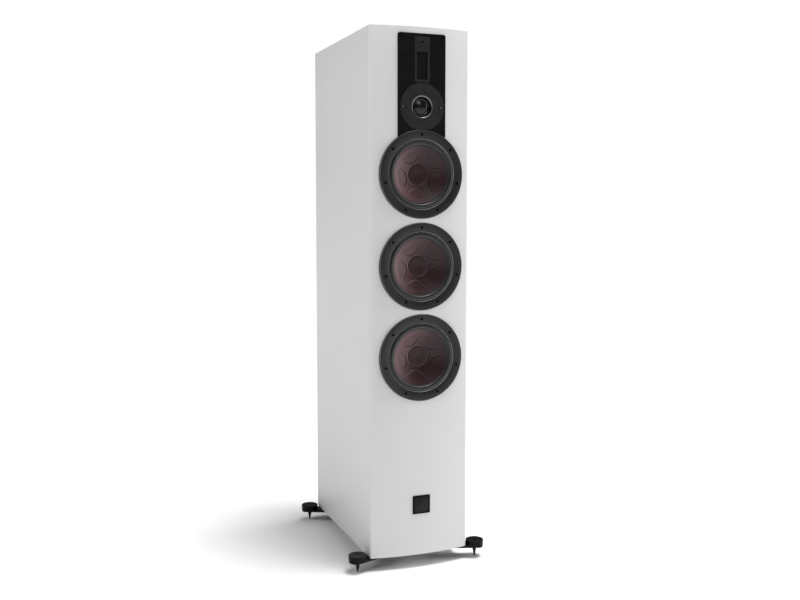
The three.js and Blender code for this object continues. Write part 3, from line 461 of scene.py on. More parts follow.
# An outline of arcs joined by straight lines, each arc (x, z, radius, from, to) in radians. A negative
# sweep is a hollow arc. inset moves the whole line inwards, so a round corner shrinks and a hollow grows.
def outline(arcs, inset=0.0, steps=10):
    share = np.linspace(0, 1, steps + 1)
    parts = []
    for x, z, radius, start, end in arcs:
        angle = start + (end - start) * share
        reach = radius - inset if end > start else radius + inset
        parts.append(np.stack([x + reach * np.cos(angle), z + reach * np.sin(angle)], -1))
    return np.concatenate(parts)


def roundRectangle(width, low, high, radius, x=0.0):
    half = width / 2 - radius
    quarterTurn = math.pi / 2
    corners = [(x + half, low + radius, -1), (x + half, high - radius, 0), (x - half, high - radius, 1),
               (x - half, low + radius, 2)]
    return [(cx, cz, radius, k * quarterTurn, (k + 1) * quarterTurn) for cx, cz, k in corners]


# A plate: the outline is carried through its thickness, drawn in by (1 - sin) and (1 - cos) of the edge
# radius near each face, so that both rims are round. axis says which way the thickness runs.
def plate(name, arcs, front, back, frontEdge, backEdge=None, steps=10, edgeSteps=4, axis="y", levels=()):
    backEdge = frontEdge if backEdge is None else backEdge
    turn = np.linspace(0, math.pi / 2, edgeSteps + 1)
    sign = 1 if back > front else -1
    rows = [(frontEdge * (1 - math.sin(a)), front + sign * frontEdge * (1 - math.cos(a))) for a in turn]
    rows += [(0.0, level) for level in levels]
    rows += [(backEdge * (1 - math.cos(a)), back - sign * backEdge * (1 - math.sin(a))) for a in turn]
    layers = []
    for inset, along in rows:
        line = outline(arcs, inset, steps)
        level = np.full(len(line), along)
        stack = (line[:, 0], level, line[:, 1]) if axis == "y" else (line[:, 0], line[:, 1], level)
        layers.append(np.stack(stack, -1))
    return surface(name, np.array(layers))


# A piece of the object: its finish, the body it goes with, what it stands for.
def piece(name, mesh, look, body="cabinet", stands=(), sharp=32):
    thing = place(name, mesh, sharp)
    thing.data.materials.append(look)
    if body:
        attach(thing, body)
    if stands:
        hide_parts(*stands)
    return thing


def middle(node):
    low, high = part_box(node)
    return (np.array(low) + np.array(high)) / 2


# A hexagonal socket: the radius of a hexagon of that size across its flats, at each angle.
def hexagon(flats, angle):
    turn = (angle + math.pi / 6) % (math.pi / 3) - math.pi / 6
    return flats / 2 / np.cos(turn)


# A socket screw head seen from -y: domed rim, then a hexagonal well, its axis through the origin.
def socketScrew(radius, length, flats, well, edge=0.25 * mm):
    profile = [(radius, length), *quarter((radius, edge), (radius - edge, 0), 3, False)]
    rows = np.array(profile + [(flats * 0.75, 0)] + [(flats / 2, 0), (flats / 2, well), (0, well * 1.15)])
    hexRows = len(rows) - 3

    def wobble(r, y, angle):
        r = r.copy()
        r[hexRows] = hexagon(flats, angle[0])
        r[hexRows + 1] = hexagon(flats, angle[0]) * 0.97
        return r, y
    return turned("screw", rows, segments=36, wobble=wobble)


cabinetLook = {"frontEdge": 5 * mm, "rearEdge": 1.6 * mm, "rim": 1.3 * mm, "gap": 0.35 * mm, "wall": 20 * mm,
               "baffle": 24 * mm, "seatGap": 0.3 * mm, "basketHole": 76 * mm, "pocketCorner": 4.8 * mm,
               "domeHole": 41 * mm, "portHole": 44.5 * mm, "ribbonSlot": 36 * mm, "ribbonSlack": 2 * mm,
               "cupWidth": 84 * mm, "cupReach": 32 * mm, "cupCorner": 3 * mm}


# The cabinet seen from above: an arc across the front, rounded corners and a flat back, carried up from the
# bottom to the top. The room inside and the openings for the units, ports and terminals are then cut out.
def cabinetShell():
    look = cabinetLook
    frontLow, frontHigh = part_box("front_baffle")
    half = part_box("side_panel_right")[1].x
    apex = frontLow.y
    cornerLine = frontHigh.y - look["baffle"]  # the line through the two front corners
    bulge = cornerLine - apex
    arcRadius = (half * half + bulge * bulge) / (2 * bulge)
    arcCentre = apex + arcRadius
    edge = look["frontEdge"]
    edgeX = half - edge
    edgeY = arcCentre - math.sqrt((arcRadius - edge) ** 2 - edgeX ** 2)
    lean = math.atan2(edgeY - arcCentre, edgeX)
    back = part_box("rear_panel")[1].y
    rear = look["rearEdge"]
    quarterTurn = math.pi / 2
    front = (0, arcCentre, arcRadius, -math.pi - lean, lean)
    arcs = [(edgeX, edgeY, edge, lean, 0), (half - rear, back - rear, rear, 0, quarterTurn),
            (rear - half, back - rear, rear, quarterTurn, math.pi),
            (-edgeX, edgeY, edge, math.pi, math.pi - lean)]
    # the long front arc has more points than the corners, so it is worked out in six equal spans
    cuts = np.linspace(front[3], front[4], 7)
    spans = [(0, arcCentre, arcRadius, cuts[i], cuts[i + 1]) for i in range(6)]
    rim = look["rim"]
    levels = np.linspace(frontLow.z, frontHigh.z, 12)[1:-1]
    shell = plate("cabinet", spans + arcs, frontLow.z, frontHigh.z, rim, steps=10, axis="z", levels=levels)
    wall = look["wall"]
    inside = roundRectangle(2 * (half - wall), frontHigh.y, back - wall, 0.5 * mm)
    room = plate("room", inside, frontLow.z + wall, frontHigh.z - wall, 0.3 * mm, axis="z", steps=1)
    cutters = [room]
    ahead = apex - wall
    beyond = frontHigh.y + wall / 4
    gap = look["gap"]
    for name in bassNames:
        low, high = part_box(f"trim_ring_{name}")
        centre = middle(f"trim_ring_{name}")
        recess = (high.x - low.x) / 2 + gap
        seat = basketFlangeBack + look["seatGap"]
        hole = look["basketHole"]
        profile = [(0, ahead), (recess, ahead), (recess, seat), (hole, seat), (hole, beyond), (0, beyond)]
        cutters.append(turned("hole", profile, (centre[0], 0, centre[2]), 160))
    low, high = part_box("module_plate")
    pocketFloor = high.y + look["seatGap"]
    width = high.x - low.x + 2 * gap
    pocket = roundRectangle(width, middle("trim_ring_upper")[2], high.z + gap, look["pocketCorner"])
    cutters.append(plate("pocket", pocket, ahead, pocketFloor, 0.1 * mm, steps=8, edgeSteps=1))
    cutters.append(rod(look["domeHole"], ahead, beyond, 0, middle("dome_diaphragm")[2], 64))
    within = back - 1.3 * wall
    for name in ("upper", "lower"):
        cutters.append(rod(look["portHole"], within, back + wall, 0, middle(f"port_tube_{name}")[2], 96))
    magnetLow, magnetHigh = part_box("ribbon_magnet")
    slack = look["ribbonSlack"]
    slot = roundRectangle(look["ribbonSlot"], magnetLow.z - slack, magnetHigh.z + slack, 1 * mm)
    cutters.append(plate("slot", slot, ahead, beyond, 0.1 * mm, steps=2, edgeSteps=1))
    z = middle("terminal_plate")[2]
    cup = roundRectangle(look["cupWidth"], z - look["cupReach"], z + look["cupReach"], look["cupCorner"])
    cutters.append(plate("cup", cup, within, back + wall, 0.1 * mm, steps=4, edgeSteps=1))
    return carve(shell, cutters)


bassNames = ["upper", "middle", "lower"]
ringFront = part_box("trim_ring_upper")[0].y
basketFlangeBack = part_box("trim_ring_upper")[1].y
boards = ["front_baffle", "rear_panel", "side_panel_left", "side_panel_right", "top_panel", "bottom_panel"]
piece("cabinet_shell", cabinetShell(), looks["lacquer"], stands=boards, sharp=25)
print("cabinet done")

ringLook = {"bore": 72 * mm, "outer": 91.4 * mm, "dish": 1.6 * mm, "chamfer": 2.2 * mm, "lip": 1.4 * mm,
            "rebate": 83.8 * mm, "rebateDepth": 5.9 * mm, "screws": 7, "screwCircle": 81.5 * mm,
            "pocket": 3.2 * mm, "pocketDepth": 2.6 * mm, "headDepth": 1.9 * mm}


# The ring's section: a rounded outer corner, a face that falls to the bore with (share of its width)^2.2,
# and a rounded inner lip.
def trimRing(centre):
    look = ringLook
    outer, bore = look["outer"], look["bore"]
    face = ringFront
    lip = face + look["dish"]
    chamfer = look["chamfer"]
    back = basketFlangeBack
    share = np.linspace(0, 1, 13)
    innerLip = bore + look["lip"]
    faceOuter = outer - chamfer
    dish = [(faceOuter + (innerLip - faceOuter) * s, face + (lip - face) * (s ** 2.2)) for s in share]
    edge = [(outer, back), (outer, face + chamfer)]
    edge += quarter((outer, face + chamfer), (faceOuter, face), 6, False)[1:-1]
    inner = quarter((innerLip, lip), (bore, lip + look["lip"]), 6, True)[1:]
    rebate, rebateFloor = look["rebate"], face + look["rebateDepth"]
    profile = edge + dish + inner + [(bore, rebateFloor), (rebate, rebateFloor), (rebate, back)]
    ring = turned("ring", profile, (centre[0], 0, centre[2]), 192, wrap=True)
    cutters = []
    for k in range(look["screws"]):
        x, z = screwPlace(centre, k)
        floor = face + look["dish"] / 2 + look["pocketDepth"]
        cutters.append(rod(look["pocket"], face - 3 * mm, floor, x, z, 24))
    ring = carve(ring, cutters)
    # the faces of the bore itself take the second finish, a pale grey that paints a highlight on the bore's
    # wall
    count = len(ring.polygons)
    middles = np.empty(count * 3, np.float32)
    ring.polygons.foreach_get("center", middles)
    middles = middles.reshape(-1, 3)
    reach = np.hypot(middles[:, 0] - centre[0], middles[:, 2] - centre[2])
    onLipHighlight = (reach < bore + 0.35 * mm) & (middles[:, 1] < rebateFloor - 0.1 * mm)
    ring.polygons.foreach_set("material_index", onLipHighlight.astype(np.int32))
    return ring


def screwPlace(centre, k):
    angle = math.pi / 2 + k * tau / ringLook["screws"]
    reach = ringLook["screwCircle"]
    return centre[0] + reach * math.cos(angle), centre[2] + reach * math.sin(angle)


surroundLook = {"inner": 61 * mm, "outer": 71 * mm, "height": 4.2 * mm, "lipInner": 59.5 * mm,
                "lipOuter": 80 * mm, "thick": 0.8 * mm, "behindRing": 6.3 * mm}


# The surround's section: flat lip, half roll whose height goes with the sine of its share, flat lip.
def surroundMesh(centre):
    look = surroundLook
    plane = ringFront + look["behindRing"]
    angle = np.linspace(0, math.pi, 25)
    radius = (look["inner"] + look["outer"]) / 2
    half = (look["outer"] - look["inner"]) / 2
    height, thick = look["height"], look["thick"]
    over = [(radius + half * math.cos(a), plane - height * math.sin(a) ** 0.9) for a in angle]
    under = [(radius + (half - thick) * math.cos(a), plane + thick - height * math.sin(a))
             for a in angle[::-1]]
    rim = [(look["lipInner"], plane + thick)]
    profile = [(look["lipOuter"], plane)] + over + [(look["lipInner"], plane)] + rim + under
    profile.append((look["lipOuter"], plane + thick))
    return turned("surround", profile, (centre[0], 0, centre[2]), 160, wrap=True)


coneLook = {"radius": 61.4 * mm, "depth": 20 * mm, "thick": 1 * mm, "capRadius": 22.4 * mm,
            "capRise": 3.2 * mm, "beadHeight": 0.45 * mm, "beadWidth": 0.7 * mm,
            "creaseStart": 28 * mm, "creaseSpread": 0.673, "creaseEnd": 50 * mm, "creaseDepth": 0.9 * mm,
            "creaseWidth": 0.75 * mm, "petalRise": 0.35 * mm, "firstCrease": 46, "creases": 5,
            "coil": 17.2 * mm, "former": 0.9 * mm}


# Each crease is one branch of a hyperbola that opens outwards: along = sqrt(start^2 + (across / spread)^2).
# The groove is a bell curve of the distance to it, and the paper outside it stands a little proud.
def creaseHeight(radius, angle):
    look = coneLook
    total = np.zeros(np.broadcast(radius, angle).shape)
    deepest = np.zeros_like(total)
    for k in range(look["creases"]):
        turn = angle - math.radians(look["firstCrease"]) - k * tau / look["creases"]
        along = radius * np.cos(turn)
        across = radius * np.sin(turn)
        branch = np.sqrt(look["creaseStart"] ** 2 + (across / look["creaseSpread"]) ** 2)
        slope = across / look["creaseSpread"] ** 2 / branch
        away = (along - branch) / np.sqrt(1 + slope ** 2)
        fade = np.clip((look["creaseEnd"] - radius) / (10 * mm), 0, 1)
        fade = fade * fade * (3 - 2 * fade)
        groove = look["creaseDepth"] * np.exp(-(away / look["creaseWidth"]) ** 2 / 2)
        step = np.clip(away / (2.5 * mm) + 0.5, 0, 1)
        total += (groove - look["petalRise"] * step * step * (3 - 2 * step)) * fade
        deepest = np.maximum(deepest, groove / look["creaseDepth"] * fade)
    return total, deepest


# The cone's section runs from the middle of its face out over the rim and back behind to the coil former.
# Face depth falls with (radius / edge radius)^1.5; a low bead marks the edge of the dust cap.
def coneMesh(centre, edgeY, middleY, formerEnd):
    look = coneLook
    rim = look["radius"]
    deep = middleY - edgeY
    cap = look["capRadius"]

    def bowl(radius):
        return edgeY + deep * (1 - (radius / rim) ** 1.5)
    face = np.linspace(0, rim, 112)
    back = np.linspace(rim, look["coil"], 14)
    inside = look["coil"] - look["former"]
    rows = [(r, bowl(r)) for r in face] + [(r, bowl(r) + look["thick"]) for r in back]
    rows += [(look["coil"], formerEnd), (inside, formerEnd), (inside, bowl(inside) + look["thick"])]
    rows += [(inside / 2, bowl(inside / 2) + look["thick"]), (0, bowl(0) + look["thick"])]
    count = len(face)

    def wobble(radius, along, angle):
        r = radius[:count]
        y = along[:count] + creaseHeight(r, angle)[0]
        dome = np.clip(1 - (r / cap) ** 2, 0, 1)
        y = y - look["capRise"] * dome
        y = y + look["beadHeight"] * np.exp(-((r - cap) / look["beadWidth"]) ** 2 / 2)
        return radius, np.concatenate([y, along[count:]])
    mesh = turned("cone", rows, (centre[0], 0, centre[2]), 320, wobble=wobble)
    # each point keeps how deep it lies in a crease; the finish paints shade there by it
    points = readPoints(mesh) - np.array([centre[0], 0, centre[2]])
    reach = np.hypot(points[:, 0], points[:, 2])
    share = creaseHeight(reach, np.arctan2(points[:, 2], points[:, 0]))[1]
    mesh.attributes.new("creaseShade", "FLOAT", "POINT").data.foreach_set("value", share.astype(np.float32))
    return mesh


screwMesh = socketScrew(2.9 * mm, ringLook["headDepth"], 2.9 * mm, 1.3 * mm)
for name in bassNames:
    centre = middle(f"trim_ring_{name}")
    ring = piece(f"trim_ring_{name}_turned", trimRing(centre), looks["ring_black"],
                 stands=[f"trim_ring_{name}"], sharp=38)
    # the second finish paints a highlight on the bore's wall
    ring.data.materials.append(ringLipHighlight)
    headFront = ringFront + ringLook["dish"] / 2 + ringLook["pocketDepth"] - ringLook["headDepth"]
    heads = []
    for k in range(ringLook["screws"]):
        x, z = screwPlace(centre, k)
        heads.append(shifted(screwMesh, x, headFront, z, turn=0.4 * k))
    piece(f"ring_screws_{name}", joined("screws", heads), screwBlack)
    low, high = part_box(f"cone_{name}")
    cone = coneMesh(centre, low.y, low.y + coneLook["depth"], high.y)
    piece(f"cone_{name}_pressed", cone, looks["wood_fibre"], f"cone_{name}", [f"cone_{name}"])
    soft = piece(f"surround_{name}_rolled", surroundMesh(centre), looks["rubber"], None,
                 [f"surround_{name}"])
    # the points are laid flat at x = radius while the object's placing is baked in, then put back
    true = readPoints(soft.data)
    flat = np.zeros_like(true)
    flat[:, 0] = np.hypot(true[:, 0] - centre[0], true[:, 2] - centre[2])
    writePoints(soft.data, flat)
    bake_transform(soft)
    writePoints(soft.data, true)
print("bass units done")

moduleLook = {"edge": 0.7 * mm, "corner": 4.5 * mm, "fillet": 1.2 * mm, "hollow": 92 * mm,
              "screwX": 44.5 * mm, "screwTop": 7.5 * mm, "screwBottom": 11 * mm, "bowl": 2.7 * mm,
              "bowlEdge": 0.4 * mm, "bowlDepth": 2 * mm, "seatDepth": 3 * mm, "seatHole": 39.8 * mm}
plateLook = {"radius": 48.5 * mm, "trim": 45.2 * mm, "edge": 0.6 * mm, "body": 39.5 * mm, "rim": 3.5 * mm,
             "flare": 24 * mm, "throat": 20.5 * mm, "flareDepth": 2.8 * mm, "slotLength": 14 * mm,
             "slotHeight": 4.5 * mm, "slotDepth": 1.2 * mm, "slotScrew": 6.2 * mm}
domeLook = {"radius": 14.5 * mm, "rise": 4.6 * mm, "edge": 18.8 * mm, "roll": 0.9 * mm, "recess": 5.2 * mm}
ribbonLook = {"width": 24 * mm, "sill": 4.9 * mm, "length": 56.6 * mm, "screwDrop": 10.1 * mm,
              "screw": 2.6 * mm, "step": 0.6 * mm, "pleats": 34, "gauze": 2.2 * mm}


# The module's plate: a rectangle with round upper corners whose lower edge is hollowed round the bass unit,
# with a stepped seat for the dome's plate, a nest and window for the ribbon and four bowls for its screws.
def modulePlate():
    look = moduleLook
    low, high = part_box("module_plate")
    bass = middle("trim_ring_upper")
    half = high.x
    hollow = look["hollow"]
    fillet = look["fillet"]
    corner = look["corner"]
    filletX = half - fillet
    filletZ = bass[2] + math.sqrt((hollow + fillet) ** 2 - filletX ** 2)
    toBass = math.atan2(bass[2] - filletZ, -filletX)
    arcs = [(filletX, filletZ, fillet, toBass, 0), (half - corner, high.z - corner, corner, 0, math.pi / 2),
            (corner - half, high.z - corner, corner, math.pi / 2, math.pi),
            (-filletX, filletZ, fillet, math.pi, math.pi - toBass)]
    shoulder = math.atan2(filletZ - bass[2], filletX)
    cuts = np.linspace(math.pi - shoulder, shoulder, 5)
    arcs += [(0, bass[2], hollow, cuts[i], cuts[i + 1]) for i in range(4)]
    base = plate("module", arcs, low.y, high.y, look["edge"], 0.2 * mm, steps=12)
    seat = low.y + look["seatDepth"]
    ahead, beyond = low.y - 10 * mm, high.y + 5 * mm
    r = plateLook["radius"] + 0.3 * mm
    inner = look["seatHole"]
    step = [(0, ahead), (r, ahead), (r, seat), (inner, seat), (inner, beyond), (0, beyond)]
    ribbonLow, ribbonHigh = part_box("ribbon_frame")
    slack = 0.25 * mm
    nest = roundRectangle(ribbonHigh.x - ribbonLow.x + 2 * slack, ribbonLow.z - slack, ribbonHigh.z + slack,
                          1 * mm)
    sill = ribbonLow.z + ribbonLook["sill"]
    window = roundRectangle(ribbonLook["width"], sill, sill + ribbonLook["length"], 0.5 * mm)
    cutters = [turned("seat", step, (0, 0, middle("dome_diaphragm")[2]), 160),
               plate("nest", nest, ahead, ribbonHigh.y + 0.3 * mm, 0.05 * mm, steps=4, edgeSteps=1),
               plate("window", window, ahead, beyond, 0.05 * mm, steps=3, edgeSteps=1)]
    bowl, bowlEdge, floor = look["bowl"], look["bowlEdge"], low.y + look["bowlDepth"]
    for x, z in moduleScrews():
        sink = [(0, ahead), (bowl + bowlEdge, ahead), (bowl + bowlEdge, low.y), (bowl, low.y + bowlEdge),
                (bowl, floor), (0, floor)]
        cutters.append(turned("bowl", sink, (x, 0, z), 32))
    return carve(base, cutters)


def moduleScrews():
    look = moduleLook
    low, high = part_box("module_plate")
    top = high.z - look["screwTop"]
    bottom = low.z + look["screwBottom"]
    return [(sign * look["screwX"], z) for z in (top, bottom) for sign in (-1, 1)]


# The face plate: columns go round, and each row's radius is drawn in from the trimmed outline
# rho = min(radius, trim / sin of the angle below) to the round throat, by the row's own share.
def domeFacePlate():
    look = plateLook
    centre = middle("dome_diaphragm")
    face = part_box("dome_faceplate")[0].y
    angle = np.linspace(0, tau, 288, endpoint=False) + tau / 576
    down = np.maximum(-np.sin(angle), 1e-3)
    sharpness = 60
    trimmed = (look["radius"] ** -sharpness + (look["trim"] / down) ** -sharpness) ** (-1 / sharpness)
    edge = look["edge"]
    body = look["body"]
    seat = face + look["rim"]
    flare = look["flare"]
    deep = face + look["flareDepth"]
    rows = [("outer", body, seat), ("line", 0, seat)]
    rows += [("line", edge * (1 - math.cos(a)), face + edge * (1 - math.sin(a)))
             for a in np.linspace(0, math.pi / 2, 5)]
    share = np.linspace(0, 1, 7)[1:]
    points = []

    def ring(radius, y):
        points.append(np.stack([centre[0] + radius * np.cos(angle), np.full_like(angle, y),
                                centre[2] + radius * np.sin(angle)], -1))
    for kind, amount, y in rows:
        ring(np.full_like(angle, amount) if kind == "outer" else trimmed - amount, y)
    rim = trimmed - edge
    for s in share:
        ring(rim + (flare + 0.5 * mm - rim) * s, face)
    ring(np.full_like(angle, flare + 0.3 * mm), face + 0.35 * mm)
    ring(np.full_like(angle, flare), face + 0.35 * mm)
    ring(np.full_like(angle, flare), deep + 1.5 * mm)
    ring(np.full_like(angle, body), deep + 1.5 * mm)
    base = surface("face", np.array(points), wrap=True)
    cutters = []
    length, height = look["slotLength"], look["slotHeight"]
    for sign in (-1, 1):
        x = sign * (look["radius"] - length / 2 + 1 * mm)
        slot = roundRectangle(length + 2 * mm, centre[2] - height / 2, centre[2] + height / 2, 1 * mm, x)
        cutters.append(plate("slot", slot, face - 2 * mm, face + look["slotDepth"], 0.1 * mm, steps=5,
                             edgeSteps=1))
    return carve(base, cutters)


# The polished flare inside the face plate: a quarter ellipse that turns from the face into the throat.
def flareRing():
    look = plateLook
    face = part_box("dome_faceplate")[0].y
    centre = middle("dome_diaphragm")
    flare, throat = look["flare"] - 0.05 * mm, look["throat"]
    deep = face + look["flareDepth"]
    start = (flare - 0.4 * mm, face + 0.25 * mm)
    bend = [(start[0] + (throat - start[0]) * math.sin(a), deep + (start[1] - deep) * math.cos(a))
            for a in np.linspace(0, math.pi / 2, 10)]
    profile = [(flare, deep + 1.2 * mm), (flare, start[1] + 0.2 * mm), (flare - 0.15 * mm, start[1])]
    end = face + 6 * mm
    wall = throat + 0.6 * mm
    profile += bend + [(throat, end), (wall, end), (wall, deep + 1.2 * mm)]
    return turned("flare", profile, (0, 0, centre[2]), 144, wrap=True)


# The dome is a cap whose height falls with the square of the radius, then a small half roll, then a thin
# former that runs back into the magnet's gap.
def domeMesh():
    look = domeLook
    centre = middle("dome_diaphragm")
    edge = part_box("dome_faceplate")[0].y + look["recess"]
    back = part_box("dome_diaphragm")[1].y
    cap = [(look["radius"] * s, edge - look["rise"] * (1 - s * s)) for s in np.linspace(0, 1, 26)]
    width = look["edge"] - look["radius"]
    roll = [(look["radius"] + width * s, edge - look["roll"] * math.sin(math.pi * s))
            for s in np.linspace(0, 1, 11)[1:]]
    thin = 0.4 * mm
    under = [(look["radius"] + width * s, edge + thin - look["roll"] * math.sin(math.pi * s))
             for s in np.linspace(1, 0.05, 9)]
    inside = look["radius"] - 0.1 * mm
    former = [(inside, edge + thin), (inside, back), (inside - thin, back)]
    inner = [((inside - thin) * s, edge + thin - look["rise"] * (1 - s * s)) for s in np.linspace(1, 0, 14)]
    return turned("dome", cap + roll + under + former + inner, (0, 0, centre[2]), 128)


# The ribbon's frame: a flat bar with rounded rims, a stepped window and a bowl for its screw.
def ribbonFrame():
    look = ribbonLook
    low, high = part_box("ribbon_frame")
    base = plate("frame", roundRectangle(high.x - low.x, low.z, high.z, 0.8 * mm), low.y, high.y, 0.45 * mm,
                 0.2 * mm, steps=5)
    sill = low.z + look["sill"]
    top = sill + look["length"]
    step = look["step"]
    ahead = low.y - 5 * mm
    wide = roundRectangle(look["width"], sill, top, 0.9 * mm)
    narrow = roundRectangle(look["width"] - 2 * step, sill + step, top - step, 0.5 * mm)
    screwZ = high.z - look["screwDrop"]
    r = look["screw"]
    floor = low.y + 2.6 * mm
    sink = [(0, ahead), (r + 0.5 * mm, ahead), (r + 0.5 * mm, low.y), (r, low.y + 0.5 * mm), (r, floor),
            (0, floor)]
    return carve(base, [plate("wide", wide, ahead, low.y + 1.0 * mm, 0.05 * mm, steps=4, edgeSteps=1),
                        plate("narrow", narrow, ahead, high.y + 5 * mm, 0.05 * mm, steps=4, edgeSteps=1),
                        turned("sink", sink, (0, 0, screwZ), 32)])


# A thin cloth panel across the window, very slightly crowned: depth = crown * (1 - u^2) * (1 - v^2).
def gauze():
    look = ribbonLook
    low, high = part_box("ribbon_frame")
    sill = low.z + look["sill"] + look["step"] - 0.3 * mm
    top = sill + look["length"] - 2 * look["step"] + 0.6 * mm
    half = look["width"] / 2 - look["step"] + 0.3 * mm
    u = np.linspace(-1, 1, 15)[None, :]
    v = np.linspace(-1, 1, 33)[:, None]
    crown = 0.25 * mm * (1 - u ** 2) * (1 - v ** 2)
    y = low.y + look["gauze"] - crown
    x = half * u * np.ones_like(v)
    z = (sill + top) / 2 + (top - sill) / 2 * v * np.ones_like(u)
    return sheetOf("gauze", np.stack([x, y, z], -1), 0.15 * mm)


# A sheet with thickness: the grid and its copy behind it, joined round the edge.
def sheetOf(name, points, thick):
    rows, columns = points.shape[:2]
    index = np.arange(rows * columns).reshape(rows, columns)
    front = np.stack([index[:-1, :-1], index[:-1, 1:], index[1:, 1:], index[1:, :-1]], -1).reshape(-1, 4)
    rim = np.concatenate([index[0, :-1], index[:-1, -1], index[-1, :0:-1], index[:0:-1, 0]])
    after = np.roll(rim, -1)
    size = rows * columns
    sides = np.stack([rim, after, after + size, rim + size], -1)
    faces = np.concatenate([front, front[:, ::-1] + size, sides])
    behind = points + np.array([0, thick, 0])
    mesh = bpy.data.meshes.new(name)
    mesh.from_pydata(np.concatenate([points, behind]).reshape(-1, 3).tolist(), [], faces.tolist())
    return tidied(mesh)


# The foil is folded into even pleats one above the other: depth goes with a rounded triangle wave of z.
def foilMesh():
    low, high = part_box("ribbon_foil")
    rows = ribbonLook["pleats"] * 8 + 1
    v = np.linspace(0, 1, rows)[:, None]
    phase = v * ribbonLook["pleats"]
    wave = np.arcsin(0.97 * np.sin(tau * phase)) / (math.pi / 2)
    depth = (high.y - low.y - 0.3 * mm) / 2
    u = np.linspace(-1, 1, 5)[None, :]
    y = low.y + depth * (1 + wave) + 0 * u
    x = (high.x - low.x) / 2 * u + 0 * v
    z = low.z + (high.z - low.z) * v + 0 * u
    return sheetOf("foil", np.stack([x, y, z], -1), 0.2 * mm)


piece("module_plate_moulded", modulePlate(), looks["module_black"],
      stands=["module_plate"])
piece("dome_faceplate_turned", domeFacePlate(), looks["faceplate_grey"],
      stands=["dome_faceplate"])
piece("dome_flare", flareRing(), flareMetal)
piece("dome_diaphragm_pressed", domeMesh(), looks["silk"], "dome", ["dome_diaphragm"])
piece("ribbon_frame_milled", ribbonFrame(), looks["faceplate_grey"],
      stands=["ribbon_frame"])
piece("ribbon_gauze", gauze(), grilleCloth)
piece("ribbon_foil_pleated", foilMesh(), looks["foil"], "ribbon", ["ribbon_foil"])
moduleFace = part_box("module_plate")[0].y
smallScrew = socketScrew(2.5 * mm, 1.5 * mm, 2.6 * mm, 1.0 * mm, 0.2 * mm)
heads = [shifted(smallScrew, x, moduleFace + 0.45 * mm, z, turn=0.5 + x * 40) for x, z in moduleScrews()]
domeZ = middle("dome_diaphragm")[2]
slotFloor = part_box("dome_faceplate")[0].y + plateLook["slotDepth"]
slotX = plateLook["radius"] - plateLook["slotScrew"]
slotScrew = socketScrew(1.9 * mm, 1.0 * mm, 1.9 * mm, 0.7 * mm, 0.2 * mm)
steelHeads = [shifted(slotScrew, sign * slotX, slotFloor - 0.8 * mm, domeZ) for sign in (-1, 1)]
piece("slot_screws", joined("screws", steelHeads), screwSteel)
ribbonLow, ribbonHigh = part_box("ribbon_frame")
heads.append(shifted(smallScrew, 0, ribbonLow.y + 1.2 * mm, ribbonHigh.z - ribbonLook["screwDrop"]))
piece("module_screws", joined("screws", heads), screwBlack)
print("tweeter module done")

badgeLook = {"corner": 1.4 * mm, "edge": 0.35 * mm, "border": 3 * mm, "depth": 0.4 * mm}


# The badge is a square with round corners and a raised border, and a thin panel that fills the sunk middle.
def badgeMeshes():
    look = badgeLook
    low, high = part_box("badge_plate")
    size = high.x - low.x
    rim = plate("badge", roundRectangle(size, low.z, high.z, look["corner"]), low.y, high.y, look["edge"],
                0.05 * mm, steps=6)
    border = look["border"]
    sunk = roundRectangle(size - 2 * border, low.z + border, high.z - border, 0.8 * mm)
    floor = low.y + look["depth"] + 0.2 * mm
    rim = carve(rim, [plate("sunk", sunk, low.y - 2 * mm, floor, 0.02 * mm, steps=4, edgeSteps=1)])
    inset = border + 0.1 * mm
    inner = roundRectangle(size - 2 * inset, low.z + inset, high.z - inset, 0.7 * mm)
    face = low.y + look["depth"]
    return rim, plate("panel", inner, face, face + 0.19 * mm, 0.08 * mm, 0.02 * mm, steps=4, edgeSteps=2)


badgeRim, badgeFace = badgeMeshes()
piece("badge_plate_bordered", badgeRim, badgeGloss, stands=["badge_plate"])
piece("badge_panel", badgeFace, badgePanel)

armLook = {"neck": 27 * mm, "root": 42 * mm, "boss": 19 * mm, "length": 112 * mm, "edge": 0.9 * mm,
           "corner": 5 * mm, "splay": 22, "screwSetback": 12 * mm, "screwInset": 9 * mm, "screw": 2.6 * mm}
knobLook = {"radius": 19.4 * mm, "edge": 0.9 * mm, "dish": 0.35 * mm, "grips": 60, "gripDepth": 0.16 * mm,
            "flats": 6 * mm, "well": 1.6 * mm}
spikeLook = {"tip": 0.9 * mm, "pitch": 1.5 * mm, "thread": 0.42 * mm, "rows": 36}
spikeRadius = (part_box("foot_spike_front_left")[1].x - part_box("foot_spike_front_left")[0].x) / 2


